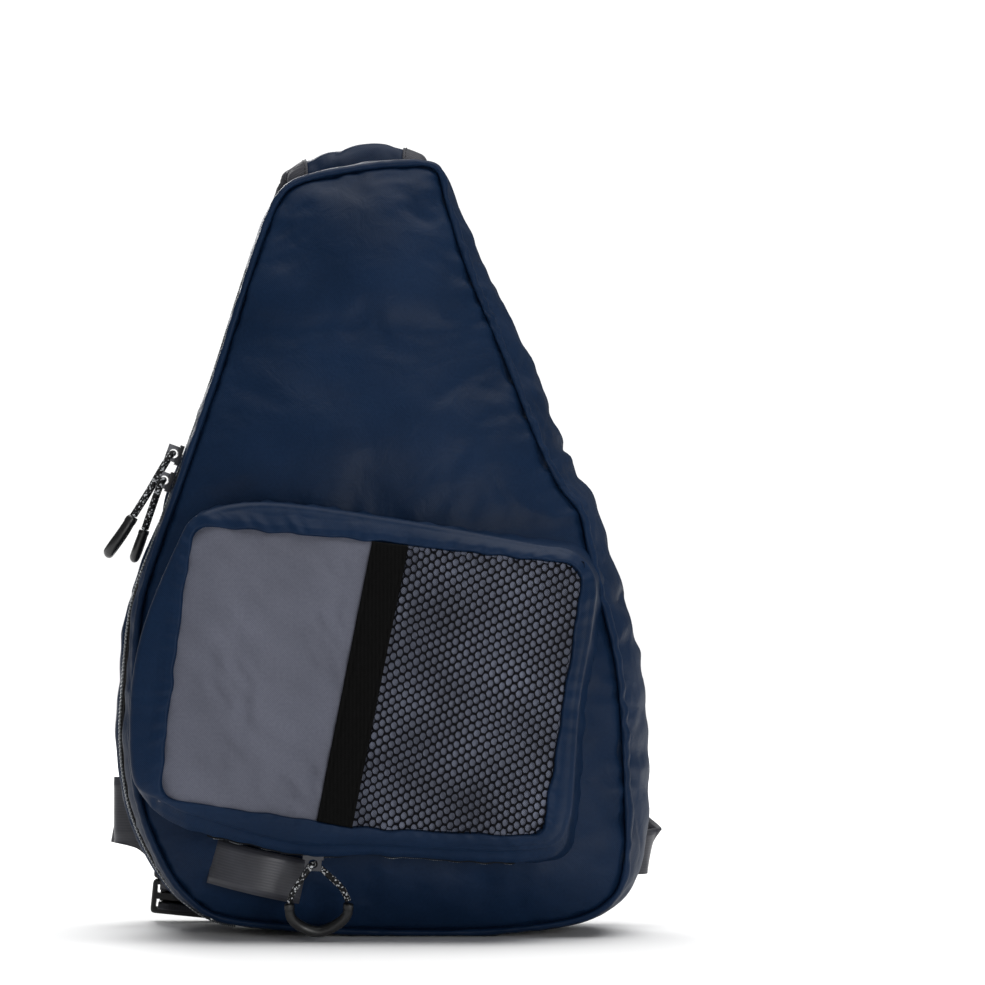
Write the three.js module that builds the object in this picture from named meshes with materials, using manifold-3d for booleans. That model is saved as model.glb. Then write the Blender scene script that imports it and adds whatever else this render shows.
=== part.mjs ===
// A teardrop sling bag for fishing tackle, standing on its own base.
// Millimetres, +Z up, the front pocket faces -Y and the carrying strap hangs at +Y.
// The origin is on the floor, in the flat of the base.

import * as THREE from "three";
import { mergeVertices } from "three/addons/utils/BufferGeometryUtils.js";
import Module from "manifold-3d";

const wasm = await Module();
wasm.setup();

// Overall sizes of the bag
const bagHalfWidth = 143;
const bagHeight = 418;
const bagDepth = 100;
const backSeamY = 46;
const gussetInset = 12;
const gussetWidestAt = 0.42;
const frontPillow = 14;
const clothWall = 2.2;
const gap = 0.3;

// Padded back panel
const backEdgeThickness = 4;
const backPadThickness = 8.5;

// Main zipper, sewn into the left side of the gusset
const zipBand = 12;
const zipCoil = 5;
const zipCoilRise = 0.9;
const zipSetback = 24;
const zipThickness = 1.6;
const zipTopHeight = 362;
const zipBottomX = -74;

// Zip sliders
const sliderLength = 11;
const sliderWidth = 8;
const sliderBase = 2.2;
const sliderBridge = 3;
const upperSliderHeight = 256;
const lowerSliderHeight = 242;
const pocketSliderX = -34;

// Cord pulls with moulded grips
const pullCordDiameter = 3.2;
const gripDiameter = 6.4;

// Front pocket
const pocketHalfWidth = 120;
const pocketHeight = 185;
const pocketCentreX = -9;
const pocketCentreZ = 137;
const pocketProudTop = 17;
const pocketProudBottom = 33;
const pocketPillow = 9;
const tapeRise = 0.8;
const netThickness = 0.8;
const netRise = 1.1;
const pocketZipBand = 9;
const pocketZipHalfLength = 82;
const pocketZipSetback = 14;

// Webbing loop under the pocket
const loopWeb = 24;
const loopHalfLength = 24;
const loopBulge = 9;
const loopCentreX = -64.5;
const loopCentreZ = 34;
const loopSlope = -0.23;

// Webbing
const wideWeb = 38;
const narrowWeb = 25;
const wideWebThickness = 1.8;
const narrowWebThickness = 1.6;

// Padded shoulder strap
const strapWidth = 86;
const strapThickness = 11;
const strapEdgeThickness = 4.6;
const strapStandOff = 17;
const bindingWidth = 12;
const bindingThickness = 1.1;

// Buckles
const wideBuckleLength = 64;
const narrowBuckleLength = 59;
const buckleCheek = 2.6;

// Outline of the bag, clockwise from the middle of the base as seen from the front.
// x is a share of bagHalfWidth, z of bagHeight, front and back are shares of gussetInset:
// how far the front and the back seam lie inside the widest line of the gusset.
const outlineRows = [
  { x: 0.08, z: -0.0072, front: 0.45, back: 0.3 },
  { x: -0.35, z: 0.0, front: 0.45, back: 0.35 },
  { x: -0.635, z: 0.0144, front: 0.5, back: 0.6 },
  { x: -0.752, z: 0.0407, front: 0.6, back: 0.8 },
  { x: -0.82, z: 0.067, front: 0.66, back: 0.9 },
  { x: -0.907, z: 0.1172, front: 0.8, back: 1.0 },
  { x: -0.964, z: 0.17, front: 0.9, back: 1.0 },
  { x: -0.992, z: 0.2464, front: 0.9, back: 1.0 },
  { x: -0.983, z: 0.3254, front: 0.9, back: 1.0 },
  { x: -0.945, z: 0.428, front: 0.7, back: 1.0 },
  { x: -0.862, z: 0.506, front: 0.5, back: 1.0 },
  { x: -0.752, z: 0.61, front: 0.42, back: 1.0 },
  { x: -0.646, z: 0.713, front: 0.35, back: 0.95 },
  { x: -0.552, z: 0.816, front: 0.32, back: 0.85 },
  { x: -0.45, z: 0.92, front: 0.3, back: 0.6 },
  { x: -0.405, z: 0.953, front: 0.28, back: 0.4 },
  { x: -0.345, z: 0.973, front: 0.26, back: 0.3 },
  { x: -0.098, z: 0.994, front: 0.25, back: 0.3 },
  { x: 0.07, z: 1.0, front: 0.25, back: 0.3 },
  { x: 0.19, z: 0.999, front: 0.25, back: 0.3 },
  { x: 0.238, z: 0.988, front: 0.3, back: 0.35 },
  { x: 0.283, z: 0.945, front: 0.42, back: 0.4 },
  { x: 0.378, z: 0.868, front: 0.7, back: 0.4 },
  { x: 0.525, z: 0.765, front: 0.95, back: 0.42 },
  { x: 0.722, z: 0.596, front: 0.85, back: 0.45 },
  { x: 0.808, z: 0.55, front: 0.75, back: 0.5 },
  { x: 0.852, z: 0.4904, front: 0.8, back: 0.5 },
  { x: 0.895, z: 0.445, front: 0.9, back: 0.5 },
  { x: 0.964, z: 0.359, front: 1.0, back: 0.5 },
  { x: 0.99, z: 0.273, front: 1.0, back: 0.5 },
  { x: 1.0, z: 0.196, front: 1.0, back: 0.5 },
  { x: 0.993, z: 0.117, front: 0.85, back: 0.5 },
  { x: 0.957, z: 0.067, front: 0.65, back: 0.45 },
  { x: 0.907, z: 0.0407, front: 0.55, back: 0.4 },
  { x: 0.794, z: 0.0144, front: 0.5, back: 0.35 },
  { x: 0.49, z: -0.0036, front: 0.45, back: 0.3 },
];

// Depth of the gusset up the bag: z is a share of bagHeight, depth of bagDepth.
const depthRows = [
  { z: -0.02, depth: 0.9 },
  { z: 0.08, depth: 1.0 },
  { z: 0.35, depth: 1.0 },
  { z: 0.6, depth: 0.87 },
  { z: 0.8, depth: 0.68 },
  { z: 1.02, depth: 0.46 },
];

// Soft dents of the stuffed front panel: x and z of the middle, long and short reach as shares of
// bagHeight, turn in degrees from upright, depth as a share of frontPillow.
const dentRows = [
  { x: 0.14, z: 0.69, long: 0.17, short: 0.035, turn: -24, depth: 0.2 },
  { x: -0.3, z: 0.6, long: 0.14, short: 0.04, turn: 20, depth: 0.16 },
  { x: 0.46, z: 0.6, long: 0.1, short: 0.03, turn: -38, depth: 0.22 },
  { x: -0.1, z: 0.86, long: 0.07, short: 0.05, turn: 70, depth: 0.14 },
];

// The front panel's two centres, between which its rings run together.
const panelLowCentre = new THREE.Vector2(0, 0.3 * bagHeight);
const panelHighCentre = new THREE.Vector2(-0.07 * bagHalfWidth, 0.82 * bagHeight);

const outlineSteps = 56;
const panelRings = [0.34, 0.64, 0.87];
const gussetRings = [0, 0.15, 0.42, 0.7, 0.9, 1];

// A closed mesh as a solid that can be joined and cut.
function solidOf(geometry) {
  const bare = new THREE.BufferGeometry();
  bare.setAttribute("position", geometry.getAttribute("position"));
  if (geometry.index) bare.setIndex(geometry.index);
  const merged = mergeVertices(bare, 1e-4);
  return new wasm.Manifold(new wasm.Mesh({
    numProp: 3,
    vertProperties: merged.attributes.position.array,
    triVerts: new Uint32Array(merged.index.array),
  }));
}

// A solid's surface as a mesh geometry.
function geometryOf(solid) {
  const mesh = solid.getMesh();
  const geometry = new THREE.BufferGeometry();
  geometry.setAttribute("position", new THREE.BufferAttribute(mesh.vertProperties, 3));
  geometry.setIndex(new THREE.BufferAttribute(mesh.triVerts, 1));
  const flat = geometry.toNonIndexed();
  flat.computeVertexNormals();
  return flat;
}

// The volume inside a triangle list, negative when its faces point inwards.
function signedVolume(points, triangles) {
  let sum = 0;
  for (const [a, b, c] of triangles) {
    sum += points[a].dot(new THREE.Vector3().crossVectors(points[b], points[c]));
  }
  return sum / 6;
}

// A closed mesh from points and triangles, turned so that its faces point outwards.
function closedGeometry(points, triangles) {
  const inward = signedVolume(points, triangles) < 0;
  const order = inward ? triangles.map(([a, b, c]) => [a, c, b]) : triangles;
  const geometry = new THREE.BufferGeometry();
  geometry.setAttribute("position", new THREE.Float32BufferAttribute(points.flatMap((p) => p.toArray()), 3));
  geometry.setIndex(order.flat());
  return geometry;
}

// Skins rings of equal length, one after the other, and closes both ends with a fan.
function loft(rings) {
  const size = rings[0].length;
  const points = rings.flat();
  const triangles = [];
  for (let r = 0; r + 1 < rings.length; r += 1) {
    for (let i = 0; i < size; i += 1) {
      const a = r * size + i;
      const b = r * size + (i + 1) % size;
      triangles.push([a, b, b + size], [a, b + size, a + size]);
    }
  }
  for (const end of [0, rings.length - 1]) {
    const middle = new THREE.Vector3();
    rings[end].forEach((p) => middle.addScaledVector(p, 1 / size));
    points.push(middle);
    for (let i = 0; i < size; i += 1) {
      const a = end * size + i;
      const b = end * size + (i + 1) % size;
      triangles.push(end === 0 ? [points.length - 1, b, a] : [points.length - 1, a, b]);
    }
  }
  return closedGeometry(points, triangles);
}

// Straight-line interpolation in a table of rows sorted by one column.
function fromRows(rows, key, column, at) {
  const last = rows.length - 1;
  if (at <= rows[0][key]) return rows[0][column];
  if (at >= rows[last][key]) return rows[last][column];
  const upper = rows.findIndex((row) => row[key] >= at);
  const a = rows[upper - 1];
  const b = rows[upper];
  const share = (at - a[key]) / (b[key] - a[key]);
  const eased = share * share * (3 - 2 * share);
  return a[column] + (b[column] - a[column]) * eased;
}

// The widest line of the gusset as a smooth closed curve, with its insets along it.
const outlinePoints = outlineRows.map((row) => new THREE.Vector3(row.x * bagHalfWidth, row.z * bagHeight, 0));
const insetPoints = outlineRows.map((row) => (
  new THREE.Vector3(row.front, row.back, 0).multiplyScalar(gussetInset)));
const outlineCurve = new THREE.CatmullRomCurve3(outlinePoints, true, "centripetal");
const insetCurve = new THREE.CatmullRomCurve3(insetPoints, true);

function outlineAt(t) {
  const place = outlineCurve.getUtoTmapping(t);
  const at = outlineCurve.getPoint(place);
  const along = outlineCurve.getTangent(place);
  const inset = insetCurve.getPoint(place);
  return {
    point: new THREE.Vector2(at.x, at.y),
    outward: new THREE.Vector2(-along.y, along.x),
    front: inset.x,
    back: inset.y,
  };
}

function gussetDepth(z) {
  return bagDepth * fromRows(depthRows, "z", "depth", z / bagHeight);
}

function frontSeamY(z) {
  return backSeamY - gussetDepth(z);
}

// How far the gusset lies inside its widest line, v running from the front to the back seam.
function gussetInsetAt(edge, v) {
  if (v < gussetWidestAt) {
    return edge.front * (1 - Math.sin(Math.PI / 2 * v / gussetWidestAt));
  }
  const past = (v - gussetWidestAt) / (1 - gussetWidestAt);
  return edge.back * (1 - Math.cos(Math.PI / 2 * past));
}

// A point of the gusset, moved outwards by grow; the base is pressed flat on the floor.
function gussetPoint(t, v, grow = 0) {
  const edge = outlineAt(t);
  const at = edge.point.clone().addScaledVector(edge.outward, grow - gussetInsetAt(edge, v));
  const y = backSeamY - gussetDepth(at.y) * (1 - v);
  return new THREE.Vector3(at.x, y, Math.max(at.y, -grow));
}

function dentDepth(x, z) {
  let sum = 0;
  for (const dent of dentRows) {
    const turn = THREE.MathUtils.degToRad(dent.turn);
    const dx = x - dent.x * bagHalfWidth;
    const dz = z - dent.z * bagHeight;
    const along = (dz * Math.cos(turn) - dx * Math.sin(turn)) / (dent.long * bagHeight);
    const across = (dx * Math.cos(turn) + dz * Math.sin(turn)) / (dent.short * bagHeight);
    sum += dent.depth * frontPillow * Math.exp(-along * along - across * across);
  }
  return sum;
}

// A point of the front panel on the ring with the given share of the way out to the seam.
function panelPoint(t, ring, grow = 0) {
  const seam = gussetPoint(t, 0, grow);
  const low = panelLowCentre;
  const high = panelHighCentre;
  const share = THREE.MathUtils.clamp((seam.z - low.y) / (high.y - low.y), 0, 1);
  const centre = low.clone().lerp(high, share);
  const x = centre.x + (seam.x - centre.x) * ring;
  const z = centre.y + (seam.z - centre.y) * ring;
  const pillow = frontPillow * Math.pow(1 - Math.pow(ring, 2.4), 0.8);
  const dent = ring < 1 ? dentDepth(x, z) * (1 - Math.pow(ring, 4)) : 0;
  return new THREE.Vector3(x, frontSeamY(z) - pillow + dent - grow, z);
}

// The filled bag, grown outwards by a margin, with its back past the seam by the given length.
function bagSolid(grow, pastBack) {
  const rings = [];
  for (const ring of panelRings) {
    rings.push(ringOf((t) => panelPoint(t, ring, grow)));
  }
  for (const v of gussetRings) {
    rings.push(ringOf((t) => gussetPoint(t, v, grow)).map((p) => (v === 0 ? p.setY(p.y - grow) : p)));
  }
  rings.push(ringOf((t) => gussetPoint(t, 1, grow).setY(backSeamY + pastBack)));
  return solidOf(loft(rings));
}

function ringOf(pointAt) {
  const ring = [];
  for (let i = 0; i < outlineSteps; i += 1) ring.push(pointAt(i / outlineSteps));
  return ring;
}

// Outline positions where the left side reaches a height, and where the base reaches an x.
function outlineWhere(test) {
  const fine = 2000;
  for (let i = 0; i < fine; i += 1) {
    const t = i / fine;
    if (test(outlineAt(t).point)) return t;
  }
  return 0;
}
const zipBottomT = outlineWhere((p) => p.x < zipBottomX);
const zipTopT = outlineWhere((p) => p.x < 0 && p.y > zipTopHeight);
const upperSliderT = outlineWhere((p) => p.x < 0 && p.y > upperSliderHeight);
const lowerSliderT = outlineWhere((p) => p.x < 0 && p.y > lowerSliderHeight);

// A strip that follows the gusset between two outline positions: rows give, across the strip,
// the distance behind the front seam and the height of the outer face above the cloth.
function gussetStrip(fromT, toT, across, lowFace) {
  const steps = Math.max(2, Math.round((toT - fromT) * outlineSteps));
  const rings = [];
  for (let i = 0; i <= steps; i += 1) {
    const t = fromT + (toT - fromT) * i / steps;
    const depth = gussetDepth(outlineAt(t).point.y);
    const outer = across.map((row) => gussetPoint(t, row.back / depth, row.rise));
    const inner = across.slice().reverse().map((row) => gussetPoint(t, row.back / depth, lowFace));
    rings.push([...outer, ...inner]);
  }
  return solidOf(loft(rings));
}

function flatRows(from, to, rise) {
  return [from, (2 * from + to) / 3, (from + 2 * to) / 3, to].map((back) => ({ back, rise }));
}

const zipFrom = zipSetback - zipBand / 2;
const zipTo = zipSetback + zipBand / 2;
const gapShare = gap / outlineCurve.getLength();
const bagOuter = bagSolid(0, 0);
const bagGrown = bagSolid(gap, gap);
const zipSlot = gussetStrip(zipBottomT, zipTopT, flatRows(zipFrom - gap, zipTo + gap, 6), -6 - clothWall);
const bodyShell = bagOuter.subtract(bagSolid(-clothWall, bagDepth)).subtract(zipSlot);

const coilFrom = zipSetback - zipCoil / 2;
const coilTo = zipSetback + zipCoil / 2;
const zipRows = [
  { back: zipFrom + gap, rise: -0.5 },
  { back: coilFrom, rise: -0.5 },
  { back: coilFrom + 0.6, rise: zipCoilRise },
  { back: coilTo - 0.6, rise: zipCoilRise },
  { back: coilTo, rise: -0.5 },
  { back: zipTo - gap, rise: -0.5 },
];
const mainZipper = gussetStrip(zipBottomT + gapShare, zipTopT - gapShare, zipRows, -0.5 - zipThickness);

// The padded back panel: flat inside, pillowed outside, as wide as the back seam.
function backPanelSolid(grow) {
  const low = panelLowCentre;
  const high = panelHighCentre;
  const innerY = backSeamY + gap - grow;
  function place(t, ring, y) {
    const seam = gussetPoint(t, 1, grow);
    const share = THREE.MathUtils.clamp((seam.z - low.y) / (high.y - low.y), 0, 1);
    const centre = low.clone().lerp(high, share);
    return new THREE.Vector3(centre.x + (seam.x - centre.x) * ring, y, centre.y + (seam.z - centre.y) * ring);
  }
  const rings = [
    ringOf((t) => place(t, 0.5, innerY)),
    ringOf((t) => place(t, 1, innerY)),
    ringOf((t) => place(t, 1, innerY + backEdgeThickness + grow)),
    ringOf((t) => place(t, 0.965, innerY + 0.75 * backPadThickness + grow)),
    ringOf((t) => place(t, 0.88, innerY + backPadThickness + grow)),
    ringOf((t) => place(t, 0.4, innerY + backPadThickness + grow)),
  ];
  return solidOf(loft(rings));
}
const backPanel = backPanelSolid(0);
const backFaceY = backSeamY + gap + backPadThickness;

// The front pocket's outline, clockwise from the middle of its lower edge. x is a share of
// pocketHalfWidth and z of pocketHeight, from the pocket's centre.
const pocketRows = [
  { x: 0.06, z: -0.487 },
  { x: -0.27, z: -0.482 },
  { x: -0.575, z: -0.444 },
  { x: -0.83, z: -0.394 },
  { x: -0.975, z: -0.3 },
  { x: -1.008, z: -0.114 },
  { x: -0.965, z: 0.121 },
  { x: -0.81, z: 0.383 },
  { x: -0.74, z: 0.463 },
  { x: -0.62, z: 0.497 },
  { x: -0.425, z: 0.511 },
  { x: 0.16, z: 0.463 },
  { x: 0.76, z: 0.392 },
  { x: 0.93, z: 0.37 },
  { x: 1.02, z: 0.295 },
  { x: 1.01, z: 0.16 },
  { x: 0.955, z: -0.055 },
  { x: 0.91, z: -0.4 },
  { x: 0.87, z: -0.475 },
  { x: 0.75, z: -0.5 },
];
const pocketCurve = new THREE.CatmullRomCurve3(
  pocketRows.map((row) => new THREE.Vector3(row.x * pocketHalfWidth, row.z * pocketHeight, 0)),
  true, "centripetal");
const pocketSteps = 32;

// The pocket face stands out more at its lower edge than at its upper one.
function pocketFaceY(z) {
  const share = THREE.MathUtils.clamp(z / pocketHeight + 0.5, 0, 1);
  const proud = pocketProudBottom + (pocketProudTop - pocketProudBottom) * share;
  return frontSeamY(pocketCentreZ) - frontPillow - proud;
}

// The filled pocket, shrunk by a wall, reaching back into the bag.
function pocketSolid(shrink) {
  const rings = [];
  const stations = [
    { ring: 0.3, back: 0, pillow: 1 },
    { ring: 0.6, back: 0, pillow: 0.9 },
    { ring: 0.82, back: 0, pillow: 0.6 },
    { ring: 0.93, back: 0, pillow: 0.26 },
    { ring: 0.975, back: 0.4, pillow: 0 },
    { ring: 1, back: 3.4, pillow: 0 },
    { ring: 1.012, back: 14, pillow: 0 },
    { ring: 1.02, back: 90, pillow: 0 },
  ];
  for (const station of stations) {
    const ring = [];
    for (let i = 0; i < pocketSteps; i += 1) {
      const at = pocketCurve.getPointAt(i / pocketSteps);
      const along = pocketCurve.getTangentAt(i / pocketSteps);
      const x = (at.x + along.y * shrink) * station.ring;
      const z = (at.y - along.x * shrink) * station.ring;
      const y = pocketFaceY(z) - pocketPillow * station.pillow + station.back + shrink;
      ring.push(new THREE.Vector3(pocketCentreX + x, y, pocketCentreZ + z));
    }
    rings.push(ring);
  }
  return solidOf(loft(rings));
}

// A straight prism along Y over a four-cornered patch of the pocket face, corners in shares.
function facePrism(corners, grow = 0) {
  const middle = { x: 0, z: 0 };
  corners.forEach((corner) => {
    middle.x += corner.x / corners.length;
    middle.z += corner.z / corners.length;
  });
  const shape = corners.map((corner) => new THREE.Vector2(
    pocketCentreX + corner.x * pocketHalfWidth + Math.sign(corner.x - middle.x) * grow,
    pocketCentreZ + corner.z * pocketHeight + Math.sign(corner.z - middle.z) * grow));
  const near = shape.map((p) => new THREE.Vector3(p.x, -2 * bagDepth, p.y));
  const far = shape.map((p) => new THREE.Vector3(p.x, 0, p.y));
  return solidOf(loft([near, far]));
}

const windowLeftTop = { x: -0.74, z: 0.441 };
const windowLeftLow = { x: -0.87, z: -0.325 };
const windowRightTop = { x: 0.965, z: 0.335 };
const windowRightLow = { x: 0.8, z: -0.43 };
const tapeLeftTop = { x: 0.045, z: 0.4 };
const tapeLeftLow = { x: -0.185, z: -0.385 };
const tapeRightTop = { x: 0.205, z: 0.387 };
const tapeRightLow = { x: -0.03, z: -0.405 };
const windowPatch = [windowLeftTop, tapeLeftTop, tapeRightTop, windowRightTop,
  windowRightLow, tapeRightLow, tapeLeftLow, windowLeftLow];

function windowPrism(grow) {
  return facePrism(windowPatch, grow);
}

const pocketOuter = pocketSolid(0);
const pocketWall = pocketOuter.subtract(pocketSolid(clothWall)).subtract(bagGrown);
const zipY = pocketFaceY(-pocketHeight / 2) + pocketZipSetback;

function pocketZipBox(grow) {
  const size = new THREE.BoxGeometry(
    2 * (pocketZipHalfLength + grow), pocketZipBand + 2 * grow, pocketHeight / 3 + 2 * grow);
  size.translate(pocketCentreX, zipY, pocketCentreZ - pocketHeight / 2);
  return solidOf(size);
}
const pocketShell = pocketWall.subtract(windowPrism(gap)).subtract(pocketZipBox(gap));
const pocketZipper = pocketWall.intersect(pocketZipBox(0));
const pocketFace = pocketWall.intersect(windowPrism(0));

function raised(solid, rise) {
  return solid.translate([0, -rise, 0]);
}
const greyPatch = [windowLeftTop, tapeLeftTop, tapeLeftLow, windowLeftLow];
const tapePatch = [tapeLeftTop, tapeRightTop, tapeRightLow, tapeLeftLow];
const netPatch = [tapeRightTop, windowRightTop, windowRightLow, tapeRightLow];

const pocketGrey = pocketFace.intersect(facePrism(greyPatch, -gap / 2));
const pocketTape = raised(pocketFace, tapeRise).intersect(facePrism(tapePatch, -gap / 2));
const pocketLining = pocketFace.intersect(facePrism(netPatch, -gap / 2));
const netFront = raised(pocketOuter, netRise).subtract(raised(pocketOuter, netRise - netThickness));
const pocketNet = netFront.intersect(facePrism(netPatch, -gap / 2));

// A point of the front panel at a given x and z, found by looking along +Y.
const bagProbe = new THREE.Mesh(geometryOf(bagOuter), new THREE.MeshBasicMaterial());
bagProbe.updateMatrixWorld(true);
function frontFaceY(x, z) {
  const ray = new THREE.Raycaster(new THREE.Vector3(x, -4 * bagDepth, z), new THREE.Vector3(0, 1, 0));
  return ray.intersectObject(bagProbe)[0].point.y;
}

// A flat band along a route: each stop has its middle and the direction of its width.
function band(stops, width, thickness, steps) {
  const route = new THREE.CatmullRomCurve3(stops.map((stop) => stop.at), false, "centripetal");
  const sides = new THREE.CatmullRomCurve3(stops.map((stop) => stop.side), false, "centripetal");
  const rings = [];
  for (let i = 0; i <= steps; i += 1) {
    const along = route.getTangent(i / steps);
    const side = sides.getPoint(i / steps);
    side.addScaledVector(along, -side.dot(along)).normalize();
    const out = new THREE.Vector3().crossVectors(along, side);
    const at = route.getPoint(i / steps);
    const corner = (u, v) => at.clone()
      .addScaledVector(side, u * width / 2)
      .addScaledVector(out, v * thickness / 2);
    rings.push([corner(-1, -1), corner(1, -1), corner(1, 1), corner(-1, 1)]);
  }
  return solidOf(loft(rings));
}

// The webbing loop under the pocket: sewn down at both ends, standing off in the middle.
const loopStops = [-1, -0.9, -0.45, 0, 0.45, 0.9, 1].map((share) => {
  const x = loopCentreX + share * loopHalfLength;
  const z = loopCentreZ + share * loopHalfLength * loopSlope;
  const face = Math.min(frontFaceY(x, z), frontFaceY(x, z + loopWeb / 2), frontFaceY(x, z - loopWeb / 2));
  const off = gap + narrowWebThickness / 2 + loopBulge * Math.pow(Math.cos(Math.PI / 2 * share), 0.7);
  return { at: new THREE.Vector3(x, face - off, z), side: new THREE.Vector3(-loopSlope, 0, 1) };
});
const pocketWebLoop = band(loopStops, loopWeb, narrowWebThickness, 12).subtract(bagGrown);

// The padded shoulder strap from the top seam over the crest and down the back.
// x is a share of bagHalfWidth, z of bagHeight, off of strapStandOff behind the padded back,
// width and thick are shares of the strap's sizes, tilt is the fall of its width to +x in degrees.
const strapRows = [
  { x: -0.108, z: 0.94, off: -0.9, width: 0.86, thick: 0.5, tilt: -10 },
  { x: -0.108, z: 0.985, off: -0.88, width: 0.87, thick: 0.55, tilt: -9 },
  { x: -0.108, z: 1.015, off: -0.6, width: 0.9, thick: 0.7, tilt: -6 },
  { x: -0.11, z: 1.028, off: 0.0, width: 0.94, thick: 0.8, tilt: -1 },
  { x: -0.118, z: 1.012, off: 0.7, width: 0.97, thick: 0.9, tilt: 3 },
  { x: -0.132, z: 0.97, off: 1.05, width: 1.0, thick: 1.0, tilt: 6 },
  { x: -0.172, z: 0.897, off: 1.2, width: 1.0, thick: 1.0, tilt: 9 },
  { x: -0.242, z: 0.77, off: 1.26, width: 0.97, thick: 1.0, tilt: 10 },
  { x: -0.295, z: 0.646, off: 1.26, width: 0.95, thick: 1.0, tilt: 12 },
  { x: -0.38, z: 0.54, off: 1.22, width: 0.93, thick: 0.95, tilt: 15 },
  { x: -0.5, z: 0.409, off: 1.1, width: 0.88, thick: 1.0, tilt: 17 },
  { x: -0.59, z: 0.3, off: 0.92, width: 0.84, thick: 1.0, tilt: 15 },
  { x: -0.66, z: 0.225, off: 0.75, width: 0.78, thick: 0.95, tilt: 12 },
  { x: -0.675, z: 0.205, off: 0.7, width: 0.72, thick: 0.8, tilt: 12 },
  { x: -0.688, z: 0.188, off: 0.66, width: 0.5, thick: 0.6, tilt: 12 },
];
const strapSpine = new THREE.CatmullRomCurve3(strapRows.map((row) => new THREE.Vector3(
  row.x * bagHalfWidth, backFaceY + row.off * strapStandOff, row.z * bagHeight)), false, "centripetal");

// The strap's middle, width, thickness and directions at a share of its row list.
function strapAt(share) {
  const place = share * (strapRows.length - 1);
  const lower = Math.min(strapRows.length - 2, Math.floor(place));
  const part = place - lower;
  const mix = (column) => strapRows[lower][column] * (1 - part) + strapRows[lower + 1][column] * part;
  const along = strapSpine.getTangent(share);
  const tilt = THREE.MathUtils.degToRad(mix("tilt"));
  const side = new THREE.Vector3(Math.cos(tilt), 0, -Math.sin(tilt));
  side.addScaledVector(along, -side.dot(along)).normalize();
  return {
    at: strapSpine.getPoint(share),
    along,
    side,
    out: new THREE.Vector3().crossVectors(side, along),
    width: mix("width") * strapWidth,
    thickness: mix("thick") * strapThickness,
  };
}
const strapColumns = [-1, -0.9, -0.5, 0, 0.5, 0.9, 1];
const strapSteps = 16;

// The strap's padding grown by a margin, or the core of it when trimmed from both edges.
function strapSolid(grow, trim, face, endShift) {
  const rings = [];
  for (let i = 0; i <= strapSteps; i += 1) {
    const place = strapAt(i / strapSteps);
    if (i === strapSteps) place.at.addScaledVector(place.along, endShift);
    if (trim > 0 && i === 0) place.at.addScaledVector(place.along, -trim);
    const half = Math.max(0.5, place.width / 2 - trim + grow);
    const heightAt = (u) => {
      const edge = Math.min(strapEdgeThickness, place.thickness) / 2;
      return edge + (place.thickness / 2 - edge) * (1 - Math.pow(Math.abs(u), 3)) + grow + face;
    };
    const point = (u, sign) => place.at.clone()
      .addScaledVector(place.side, u * half)
      .addScaledVector(place.out, sign * heightAt(u));
    const upper = strapColumns.map((u) => point(u, 1));
    const lower = strapColumns.slice().reverse().map((u) => point(u, -1));
    rings.push([...upper, ...lower]);
  }
  return solidOf(loft(rings));
}
const backGrown = backPanelSolid(gap);
const seatTools = (solid) => solid.subtract(bagGrown).subtract(backGrown);
const strapPad = seatTools(strapSolid(0, 0, 0, 0));
const strapClear = strapSolid(gap, 0, 0, gap);
const bindingOuter = strapSolid(gap + bindingThickness, 0, 0, gap + bindingThickness);
const bindingCore = strapSolid(0, bindingWidth, strapThickness, -bindingWidth);
const strapBinding = seatTools(bindingOuter.subtract(strapClear).subtract(bindingCore));

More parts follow.
